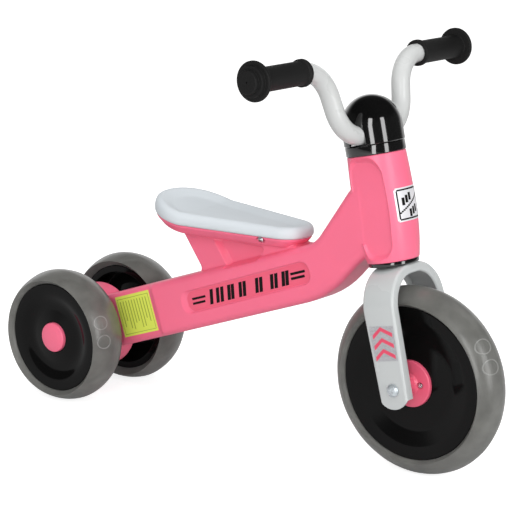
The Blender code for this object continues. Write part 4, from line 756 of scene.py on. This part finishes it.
def rim_mesh(rim_radius, face, back, back_lip, centre):
    """A dished rim with its outboard face up: flat ring and soft bowl, with a lip at the back."""
    bed, wall = rim_radius - RIM_STEP, RIM_WALL
    ring, ring_face = rim_radius - RIM_RING, face - 0.0008
    foot, floor = rim_radius * DISH_FOOT, face - DISH_DEPTH
    outline = [(rim_radius, face, 0.001), (rim_radius, face - RIM_LIP), (bed, face - RIM_LIP)]
    if back_lip:
        outline += [(bed, back + RIM_LIP), (rim_radius, back + RIM_LIP),
                    (rim_radius, back, 0.0008)]
    else:
        outline += [(bed, back)]
    outline += [
        (bed - wall, back, 0.0008), (bed - wall, ring_face - wall, 0.001),
        (ring + 0.001, ring_face - wall, 0.003), (foot, floor - wall, 0.003),
        (HUB_RADIUS, face - HUB_FLOOR, 0.001), (HUB_RADIUS, back, 0.0006), (HUB_BORE, back),
        (HUB_BORE, face - CAP_THICK),
    ]
    if back_lip:
        outline += [(REAR_SEAT, face - CAP_THICK), (REAR_SEAT, face - 0.0014, 0.0006)]
    else:
        outline += [(FRONT_SEAT, face - CAP_THICK, 0.0012)]
    outline += [(foot, floor, 0.022), (ring, ring_face, 0.020)]
    return turned(outline, 192, centre, step=radians(12))


light_shell = surface("light_shell", (0.52, 0.53, 0.50), 0.35, drift=0.08, patch=90.0)
light_glow = surface("light_window", (0.33, 0.33, 0.32), 0.3, drift=0.10, patch=200.0, Alpha=0.6)
LIGHT_HALF, LIGHT_WIDTH, LIGHT_THICK, LIGHT_RAISED = 0.015, 0.0075, 0.0035, 0.0038
LENS_IN, LENS_OUT, LENS_HEIGHT = 0.0052, 0.0070, 0.0016
RING_IN, RING_OUT, RING_LOW, RING_HIGH, RING_APART = 0.0068, 0.0079, -0.0006, 0.00012, 0.0108
LIGHT_TURN = Matrix.Rotation(radians(-14), 4, "Y")


def light_mesh(bed, centre):
    """The light's flat capsule with a raised ring around each lens, facing out of the tread."""
    middle = bed + LIGHT_RAISED
    half, width = LIGHT_HALF, LIGHT_WIDTH
    outline = rounded([(-width, -half, width), (width, -half, width), (width, half, width),
                       (-width, half, width)], step=radians(10))
    parts = [slab(outline, middle - LIGHT_THICK, middle + LIGHT_THICK, FACE)]
    for level in (-1, 1):
        spot = Matrix.Translation((middle + 0.0034, 0, level * (half - width)))
        parts.append(tube(LENS_IN, LENS_OUT, LENS_HEIGHT, 0.0, 40,
                          spot @ Matrix.Rotation(pi / 2, 4, "Y")))
    mesh = together(parts)
    mesh.transform(centre @ LIGHT_TURN)
    return mesh


def lens_rings(radius, half, rim_radius, outboard, centre):
    """Two rings just under the tread, where the light's lenses show through the tyre."""
    def spot(ring, sink, level, angle):
        across, run = ring * cos(angle) + outboard, ring * sin(angle) + level
        edge = min(1.0, abs(across) / half) ** TYRE_POINT
        reach = rim_radius + (radius - rim_radius) * (1 - edge) ** (1 / TYRE_POINT) + sink
        return reach * cos(run / radius), across, reach * sin(run / radius)

    section = ((RING_IN, RING_LOW), (RING_OUT, RING_LOW), (RING_OUT, RING_HIGH),
               (RING_IN, RING_HIGH))
    angles = [2 * pi * k / 48 for k in range(48)]
    mesh = together([
        skinned([[spot(*corner, level, angle) for angle in angles] for corner in section],
                looped=True) for level in (-RING_APART, RING_APART)])
    mesh.transform(centre @ LIGHT_TURN)
    return mesh


for side, turn, word in ((1, LEFT, "left"), (-1, RIGHT, "right")):
    body, prefix = "rear_" + word + "_wheel", "rear_" + word
    hub = Matrix.Translation((REAR_X, side * REAR_SIDE, REAR_Z))
    add(prefix + "_light_window",
        lens_rings(REAR_RADIUS, REAR_HALF, REAR_RIM + 2 * GAP, side * 0.0115, hub), body,
        light_glow)
    dress(prefix + "_tyre",
        tyre_mesh(REAR_RADIUS, REAR_HALF, REAR_RIM, REAR_FACE, -REAR_BACK, hub @ turn), body,
        grey)
    dress(prefix + "_rim", rim_mesh(REAR_RIM, REAR_FACE, REAR_BACK, True, hub @ turn),
        body, rim_black)
    dress(prefix + "_light", light_mesh(REAR_RIM - RIM_STEP, hub), body,
          light_shell)
    bush = tube(AXLE_BORE, WHEEL_BUSH, 0.0136, -0.014, 48, hub @ turn, (0.0, 0.0004),
                radians(30))
    dress(prefix + "_bush", bush, body, nylon)
    cap = [
        (0.0, CAP_TOP), (0.0097, CAP_TOP - 0.0004, 0.02), (CAP_RADIUS, CAP_TOP - 0.0016, 0.0018),
        (CAP_RADIUS, CAP_FOOT), (0.009, CAP_FOOT), (0.009, CAP_TOP - 0.0018),
        (0.0, CAP_TOP - 0.0018),
    ]
    dress(prefix + "_hub_cap", turned(cap, 96, hub @ turn, False), body, pink)

# Front wheel
# The larger wheel: the same tyre on two rim halves, with a pink hub cap on each side that
# fills the fork, held by three screws. The caps are the body's plastic, drawn a deeper pink
# as painted shade from the fork legs.
FRONT_RADIUS, FRONT_HALF = 0.095, 0.0225
FRONT_RIM, FRONT_FACE, FRONT_SPLIT = 0.0766, 0.0177, 0.00015
HUB_CAP, CAP_FACE, CAP_BACK, BOSS_RADIUS, BOSS_END = 0.0235, 0.0180, 0.0140, 0.0086, 0.0437
SCREW_CIRCLE, SCREW_SINK, SCREW_HOLE = 0.0126, 0.0033, 0.0016
wheel = COLUMN @ Matrix.Translation((FORK_OFFSET, 0, 0))
dress("front_tyre",
    tyre_mesh(FRONT_RADIUS, FRONT_HALF, FRONT_RIM, FRONT_FACE, FRONT_FACE, wheel @ LEFT),
    "front_wheel", grey)
dress("front_light", light_mesh(FRONT_RIM - RIM_STEP, wheel), "front_wheel",
    light_shell)
add("front_light_window",
    lens_rings(FRONT_RADIUS, FRONT_HALF, FRONT_RIM + 2 * GAP, -0.0095, wheel), "front_wheel",
    light_glow)
dress("front_bush", tube(AXLE_BORE, WHEEL_BUSH, 0.0134, -0.0134, 48, wheel @ LEFT),
      "front_wheel", nylon)
# The same pink plastic as the body, darkened: painted shade standing in for the fork's shadow on
# the caps.
shaded_cap_pink = surface("cap_pink_painted_shade", (0.76, 0.110, 0.190), 0.30, drift=0.03, grain=0.10,
                   pores=700.0)
for turn, word in ((LEFT, "left"), (RIGHT, "right")):
    dress("front_rim_" + word,
        rim_mesh(FRONT_RIM, FRONT_FACE, FRONT_SPLIT, False, wheel @ turn), "front_wheel",
        rim_black)
    outline = [
        (AXLE_BORE, BOSS_END), (BOSS_RADIUS, BOSS_END, 0.001),
        (BOSS_RADIUS, CAP_FACE + 0.003, 0.004), (0.0108, CAP_FACE, 0.0006),
        (HUB_CAP, CAP_FACE, 0.0012), (HUB_CAP, CAP_BACK), (AXLE_BORE, CAP_BACK),
    ]
    holes, spots = [], []
    for k in range(3):
        angle = radians(-9.5) + 2 * pi * k / 3
        flip = 1 if word == "right" else -1
        spots.append(Matrix.Translation(
            (SCREW_CIRCLE * cos(angle), flip * SCREW_CIRCLE * sin(angle), 0)))
        holes.append(revolve([
            (0.0, CAP_FACE + 0.002), (SCREW_SINK, CAP_FACE + 0.002),
            (SCREW_SINK, CAP_FACE - 0.0014), (SCREW_HOLE, CAP_FACE - 0.0014),
            (SCREW_HOLE, 0.007), (0.0, 0.007)], 32, spots[-1], False))
    cap = shaped(turned(outline, 128), tools=holes)
    cap.transform(wheel @ turn)
    dress("front_hub_cap_" + word, cap, "front_wheel", shaded_cap_pink)
    for k, spot in enumerate(spots):
        label = "front_hub_screw_" + word + "_" + str(k + 1)
        place = wheel @ turn @ spot @ Matrix.Translation((0, 0, CAP_FACE - 0.0011))
        dress(label, cross_screw(0.0025, 0.0013, 0.0013, 0.0082, place),
            "front_wheel", zinc)

# Fork
# A pressed steel channel bent to an upside-down U, its rims rolled round, sprayed pale
# grey. The steerer tube stands on its crown.
FORK_HALF, FORK_TOP, FORK_SHEET = 0.046, 0.1163, 0.002
FORK_FLANGE, FORK_CROWN_FLANGE = 0.0130, 0.0100
FORK_WIDE, FORK_CROWN_WIDE, FORK_SETBACK, FORK_CROWN_SETBACK = 0.0153, 0.0180, 0.0013, 0.0028
FORK_SHOULDER, FORK_LOW, FOOT_CUT, TIP_RADIUS = 0.040, -0.0211, -0.0108, 0.0184


def arch(margin, extra):
    """The fork's outline seen from the front, as a band between two arches."""
    foot_half = FORK_HALF - FORK_FLANGE - extra
    top_half = FORK_HALF - FORK_CROWN_FLANGE - extra
    inside_top = FORK_TOP - FORK_CROWN_FLANGE - extra
    bend = FORK_SHOULDER - FORK_CROWN_FLANGE - extra
    foot = FORK_LOW - margin * 2
    outline = [
        (-FORK_HALF + margin, foot), (-foot_half, foot), (-top_half, inside_top, bend),
        (top_half, inside_top, bend), (foot_half, foot), (FORK_HALF - margin, foot),
        (FORK_HALF - margin, FORK_TOP - margin, FORK_SHOULDER - margin),
        (-FORK_HALF + margin, FORK_TOP - margin, FORK_SHOULDER - margin),
    ]
    half_width = FORK_WIDE - margin
    return slab(rounded(outline, step=radians(4)), -half_width, half_width, FACE)


def leaned(mesh, margin):
    """Widen the legs towards the crown, further at the back than at the front."""
    shoulder = FORK_TOP - FORK_SHOULDER

    def shift(spot):
        share = max(0.0, min(1.0, (spot.z - FORK_LOW) / (shoulder - FORK_LOW)))
        width = FORK_WIDE + (FORK_CROWN_WIDE - FORK_WIDE) * share
        setback = FORK_SETBACK + (FORK_CROWN_SETBACK - FORK_SETBACK) * share
        spot.x = FORK_OFFSET - setback + spot.x * (width - margin) / (FORK_WIDE - margin)

    return reshaped(mesh, [((0, 0, shoulder), (0, 0, 1))], shift)


fork = leaned(shaped(arch(0.0, 0.0), bevel=0.0025, segments=5), 0.0)
tools = [leaned(arch(FORK_SHEET, 0.004), FORK_SHEET)]
for side in (1, -1):
    near, far = sorted((side * (FORK_HALF - FORK_SHEET), side * (FORK_HALF - 0.021)))
    tools.append(slab([(-0.03, -0.04), (0.04, -0.04), (0.04, FOOT_CUT), (-0.03, FOOT_CUT)],
                      -far, -near))
drop = TIP_RADIUS - 0.0191
corner, beyond = drop - sqrt(TIP_RADIUS ** 2 - FORK_WIDE ** 2), FORK_WIDE + 0.01
tip = [(-beyond, corner), (-beyond, -0.05), (beyond, -0.05), (beyond, corner)]
reach = asin(FORK_WIDE / TIP_RADIUS)
for k in range(25):
    angle = reach - 2 * reach * k / 24
    tip.append((TIP_RADIUS * sin(angle), drop - TIP_RADIUS * cos(angle)))
tip = [(x + FORK_OFFSET - FORK_SETBACK, z) for x, z in tip]
tools += [slab(tip, -0.06, 0.06),
          drill(AXLE_BORE, 0.06, -0.06, 40, Matrix.Translation((FORK_OFFSET, 0, 0)) @ LEFT),
          drill(0.006, 0.13, 0.10)]
fork = shaped(fork, tools=tools)
fork.transform(COLUMN)
paint = surface("pale_grey_paint", (0.50, 0.52, 0.52), 0.28, drift=0.02, grain=0.10, pores=420.0,
                Coat_Weight=0.3, Coat_Roughness=0.12)
dress("fork", fork, "steering", paint)
STEM_IN, STEM_OUT, STEM_TOP = 0.0112, 0.0127, 0.2369
dress("steerer_tube", tube(STEM_IN, STEM_OUT, STEM_TOP, FORK_TOP + GAP, 96, COLUMN),
      "steering", paint)

# Fork stickers
# A silver-grey speckled film on each fork leg with three pink chevrons that point up.
speckle = surface("speckled_film", (0.38, 0.38, 0.40), 0.35, drift=0.30, patch=1400.0,
                  grain=0.05, pores=1500.0)
chevron_pink = surface("chevron_film", (0.74, 0.065, 0.13), 0.32, drift=0.06, grain=0.05,
                       pores=1500.0)
CHEVRONS, CHEVRON_PITCH, CHEVRON_WIDTH = 3, 0.0107, 0.0040
patch = [(-0.0072, 0.0289), (0.0190, 0.0289), (0.0194, 0.0634), (-0.0088, 0.0634)]
chevrons = []
for k in range(CHEVRONS):
    low = 0.0300 + CHEVRON_PITCH * k
    chevrons.append([
        (-0.0058, low - 0.0008), (0.0042, low + 0.0072), (0.0172, low + 0.0008),
        (0.0172, low + 0.0008 + CHEVRON_WIDTH), (0.0042, low + 0.0072 + CHEVRON_WIDTH),
        (-0.0058, low + 0.0034)])
for side, word in ((1, "left"), (-1, "right")):
    add("fork_sticker_" + word, film(patch, FORK_HALF, 0.00012, side, COLUMN @ SIDE),
        "steering", speckle)
    marks = [film(chevron, FORK_HALF, 0.0002, side, COLUMN @ SIDE) for chevron in chevrons]
    add("fork_chevrons_" + word, together(marks), "steering", chevron_pink)

# Front axle
# A zinc-plated bolt with a domed head on the near side, and a hexagon nut on the far side.
galvanised = surface("galvanised_steel", (0.56, 0.61, 0.64), 0.34, drift=0.35, patch=420.0,
                     grain=1.0, pores=600.0, Metallic=0.6)
AXLE_FACE, BOLT_HEAD, BOLT_END, NUT_CORNER = FORK_HALF + GAP, 0.0065, -0.0535, 0.0065
bolt = [
    (0.0, AXLE_FACE + 0.0033), (0.0040, AXLE_FACE + 0.0032, 0.004),
    (BOLT_HEAD, AXLE_FACE + 0.0012, 0.0015), (BOLT_HEAD, AXLE_FACE), (AXLE_RADIUS, AXLE_FACE),
    (AXLE_RADIUS, BOLT_END, 0.0006), (0.0, BOLT_END),
]
dress("front_axle_bolt", turned(bolt, 64, wheel @ RIGHT, False), "steering",
    galvanised)
hexagon = [(NUT_CORNER * cos(pi * k / 3), NUT_CORNER * sin(pi * k / 3)) for k in range(6)]
nut = shaped(slab(hexagon, AXLE_FACE, AXLE_FACE + 0.0056, LEFT), bevel=0.0004, segments=2,
             angle=50.0, tools=[drill(AXLE_BORE, 0.06, 0.04, turn=LEFT)])
nut.transform(wheel)
dress("front_axle_nut", nut, "steering", galvanised)

# Stem plug, bolt and nut
# Inside the cover: a black plug in the steerer carries the bar in a groove, and one bolt
# through the bar pulls a nut up inside the tube. The CAD pieces stay and get real finishes.
for name, looks in (("stem_plug", nylon), ("stem_bolt", zinc), ("stem_nut", zinc)):
    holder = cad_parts[name].data.materials
    holder.clear()
    holder.append(looks)

# Handlebar
# One steel tube bent to a U with turned-out ends, sprayed the same pale grey as the fork.
BAR_LEVEL, BAR_TOP, BAR_RADIUS, BAR_WALL, BAR_HOLE = 0.2467, 0.3157, 0.0095, 0.0015, 0.0033
BAR_FOOT, BAR_SHOULDER, BAR_END, BAR_BEND, SIDES = 0.050, 0.0665, 0.168, 0.036, 64
bar_paint = surface("pale_bar_paint", (0.54, 0.55, 0.545), 0.28, drift=0.02, grain=0.10,
                    pores=420.0, Coat_Weight=0.3, Coat_Roughness=0.12)
half_path = rounded([(0.0, BAR_LEVEL), (BAR_FOOT, BAR_LEVEL, BAR_BEND),
                     (BAR_SHOULDER, BAR_TOP, BAR_BEND), (BAR_END, BAR_TOP)],
                    closed=False, step=radians(4))
path = [Vector((-p.x, p.y)) for p in reversed(half_path[1:])] + half_path
angles = [2 * pi * k / SIDES for k in range(SIDES)]
rings = []
for radius in (BAR_RADIUS, BAR_RADIUS - BAR_WALL):
    layer = []
    for i, point in enumerate(path):
        before, after = path[max(i - 1, 0)], path[min(i + 1, len(path) - 1)]
        along = (after - before).normalized()
        stretch = 1.0
        if 0 < i < len(path) - 1:
            bend = (point - before).normalized().dot((after - point).normalized())
            stretch = 1 / sqrt((1 + bend) / 2)
        out = Vector((-along.y, along.x)) * radius * stretch
        layer.append([(radius * sin(a), point.x + out.x * cos(a), point.y + out.y * cos(a))
                      for a in angles])
    rings = layer + rings[::-1]
bar = shaped(skinned(rings, looped=True), tools=[drill(BAR_HOLE, 0.27, 0.22)])
bar.transform(COLUMN)
dress("handlebar", bar, "steering", bar_paint)

# Stem cover
# A domed shell of gloss black plastic over the bar clamp, slotted on both sides for the bar.
COVER_FOOT, COVER_RADIUS, COVER_WALL, COVER_EDGE, ARC = 0.2367, 0.030, 0.0025, 0.0006, 40
crown, hollow = COVER_FOOT + 0.018, COVER_RADIUS - COVER_WALL
outer, inner = (
    [(radius * sin(pi / 2 * k / ARC), crown + radius * cos(pi / 2 * k / ARC))
     for k in range(ARC + 1)] for radius in (COVER_RADIUS, hollow))
outline = outer + [(COVER_RADIUS, COVER_FOOT + COVER_EDGE),
                   (COVER_RADIUS - COVER_EDGE, COVER_FOOT), (hollow, COVER_FOOT)] + inner[::-1]
slot_half = BAR_RADIUS + GAP
slot_top = BAR_LEVEL + slot_half + 0.0018
slot = slab(rounded([
    (-slot_half, COVER_FOOT - 0.01), (slot_half, COVER_FOOT - 0.01),
    (slot_half, slot_top, slot_half - 0.00001), (-slot_half, slot_top, slot_half - 0.00001),
]), -0.04, 0.04)
cover = shaped(revolve(outline, 160, closed=False), tools=[slot])
cover.transform(COLUMN)
dress("stem_cover", cover, "steering", black, angle=30.0)

# Grips
# Matte black rubber sleeves with a stop ring at the inner end and a wide guard flange.
rubber = surface("black_rubber", (0.010, 0.010, 0.010), 0.62, drift=0.25, grain=0.5, pores=900.0,
                 Specular_IOR_Level=0.2)
GRIP_RADIUS, GRIP_STOP, GRIP_GUARD, GRIP_CAP, GRIP_BORE = 0.0117, 0.0134, 0.0191, 0.0148, 0.0098
GRIP_END, GRIP_FACE, GUARD_OUT, GUARD_IN, STOP_OUT, STOP_IN = (
    0.181, 0.1765, 0.172, 0.168, 0.1000, 0.096)
outline = [
    (0.0008, 0.1803), (0.0008, GRIP_END, 0.0002), (0.0112, GRIP_END, 0.0012),
    (0.0112, GRIP_FACE, 0.0004), (GRIP_CAP, GRIP_FACE, 0.0008), (GRIP_CAP, GUARD_OUT, 0.0005),
    (GRIP_GUARD, GUARD_OUT, 0.0014), (GRIP_GUARD, GUARD_IN, 0.0014),
    (GRIP_RADIUS, GUARD_IN, 0.0010), (GRIP_RADIUS, STOP_OUT + 0.001, 0.0006),
    (GRIP_STOP, STOP_OUT, 0.0008), (GRIP_STOP, STOP_IN, 0.0009), (GRIP_BORE, STOP_IN),
    (GRIP_BORE, 0.1683), (0.0008, 0.1683),
]
for turn, word in ((LEFT, "left"), (RIGHT, "right")):
    grip = turned(outline, 96, COLUMN @ Matrix.Translation((0, 0, BAR_TOP)) @ turn,
                  step=radians(15))
    dress("grip_" + word, grip, "steering", rubber)

# Floor, light and camera
# A pale studio floor that keeps the bike's shadow, soft lights and the photograph's view.
FLOOR_REACH, FLOOR_GREY, FLOOR_GLOW, GLOSSY_SHARE = 6.0, 0.58, 0.80, 0.10
floor_mesh = bpy.data.meshes.new("floor")
floor_mesh.from_pydata([(FLOOR_REACH * x, FLOOR_REACH * y, 0)
                        for x, y in ((-1, -1), (1, -1), (1, 1), (-1, 1))], [], [(0, 1, 2, 3)])
floor_obj = placed("floor", floor_mesh)
floor_mat = bpy.data.materials.new("studio_floor")
floor_mat.use_nodes = True
tree = floor_mat.node_tree
tree.nodes.remove(tree.nodes["Principled BSDF"])
seen = node(tree, "LightPath").outputs
dimmed = node(tree, "Math", {0: seen["Is Glossy Ray"], 1: GLOSSY_SHARE}, operation="MULTIPLY")
either = node(tree, "Math", {0: seen["Is Camera Ray"], 1: dimmed.outputs["Value"]},
              operation="MAXIMUM")
level = node(tree, "Math", {0: either.outputs["Value"], 1: FLOOR_GLOW}, operation="MULTIPLY")
matte = node(tree, "BsdfDiffuse", {"Color": (FLOOR_GREY, FLOOR_GREY, FLOOR_GREY, 1)})
glow = node(tree, "Emission", {"Color": (1, 1, 1, 1), "Strength": level.outputs["Value"]})
total = node(tree, "AddShader", {0: matte.outputs["BSDF"], 1: glow.outputs["Emission"]})
feed(tree, tree.nodes["Material Output"], {"Surface": total.outputs["Shader"]})
floor_mesh.materials.append(floor_mat)

# The world is white to the camera and through clear plastic. Gloss sees a pale backdrop low
# behind the bike, and the fill light is stronger from the bike's front.
AZIMUTH, ELEVATION, ROLL = radians(38.507), radians(12.587), radians(0.672)
world = bpy.data.worlds.new("studio")
bpy.context.scene.world = world
world.use_nodes = True
tree = world.node_tree


def mixed(share, low, high):
    """A value that goes from low to high with a share between 0 and 1."""
    return node(tree, "Mix", {"Factor": share, "A": low, "B": high}).outputs["Result"]


seen = node(tree, "LightPath").outputs
direction = node(tree, "TexCoord").outputs["Generated"]
away, ahead = (
    node(tree, "VectorMath", {0: direction, 1: way}, operation="DOT_PRODUCT").outputs["Value"]
    for way in ((-sin(AZIMUTH), cos(AZIMUTH), 0), (0.97, 0.0, 0.24)))
height = node(tree, "SeparateXYZ", {0: direction}).outputs["Z"]
behind = node(tree, "Math", {
    0: ranged(tree, away, (0.45, 0.95, 0.05, 1.0), "SMOOTHSTEP"),
    1: ranged(tree, height, (0.25, 0.60, 1.0, 0.06), "SMOOTHSTEP")}, operation="MULTIPLY")
fill = ranged(tree, ahead, (-1.0, 1.0, 0.32, 0.80))
level = mixed(seen["Is Glossy Ray"], fill, behind.outputs["Value"])
level = mixed(seen["Is Transmission Ray"], level, 1.0)
level = mixed(seen["Is Camera Ray"], level, 1.0)
feed(tree, tree.nodes["Background"], {"Color": (1, 1, 1, 1), "Strength": level})


def area_light(name, azimuth, elevation, distance, width, height, power, mirrored=True):
    """A soft box aimed at the bike's middle, at an azimuth from the near side towards +X."""
    a, e = radians(azimuth), radians(elevation)
    direction = Vector((sin(a) * cos(e), -cos(a) * cos(e), sin(e)))
    lamp = bpy.data.lights.new(name, "AREA")
    lamp.shape = "RECTANGLE"
    lamp.size = width
    lamp.size_y = height
    lamp.energy = power
    obj = placed(name, lamp)
    obj.location = Vector((0, 0, 0.18)) + direction * distance
    obj.rotation_euler = direction.to_track_quat("Z", "Y").to_euler()
    obj.visible_glossy = mirrored


area_light("overhead_box", 20, 78, 2.2, 2.2, 1.6, 16, mirrored=False)
area_light("left_box", -8, 28, 2.4, 1.3, 1.3, 7, mirrored=False)
area_light("strip_one", 31, 13, 2.4, 0.58, 1.90, 22)
area_light("strip_two", 78, 13, 2.4, 0.58, 1.90, 20)

camera = bpy.data.cameras.new("camera")
camera_obj = placed("camera", camera)
back = Vector((sin(AZIMUTH) * cos(ELEVATION), -cos(AZIMUTH) * cos(ELEVATION), sin(ELEVATION)))
across = Vector((cos(AZIMUTH), sin(AZIMUTH), 0))
upward = back.cross(across)
right = across * cos(ROLL) + upward * sin(ROLL)
up = upward * cos(ROLL) - across * sin(ROLL)
camera_obj.matrix_world = (
    Matrix.Translation((1.1812, -1.5227, 0.6564))
    @ Matrix((right, up, back)).transposed().to_4x4()
)
camera.sensor_width = 36.0
camera.lens = 134.58
camera.shift_x = 0.0409
camera.shift_y = -0.0720
bpy.context.scene.camera = camera_obj
bpy.context.scene.view_settings.view_transform = "Standard"
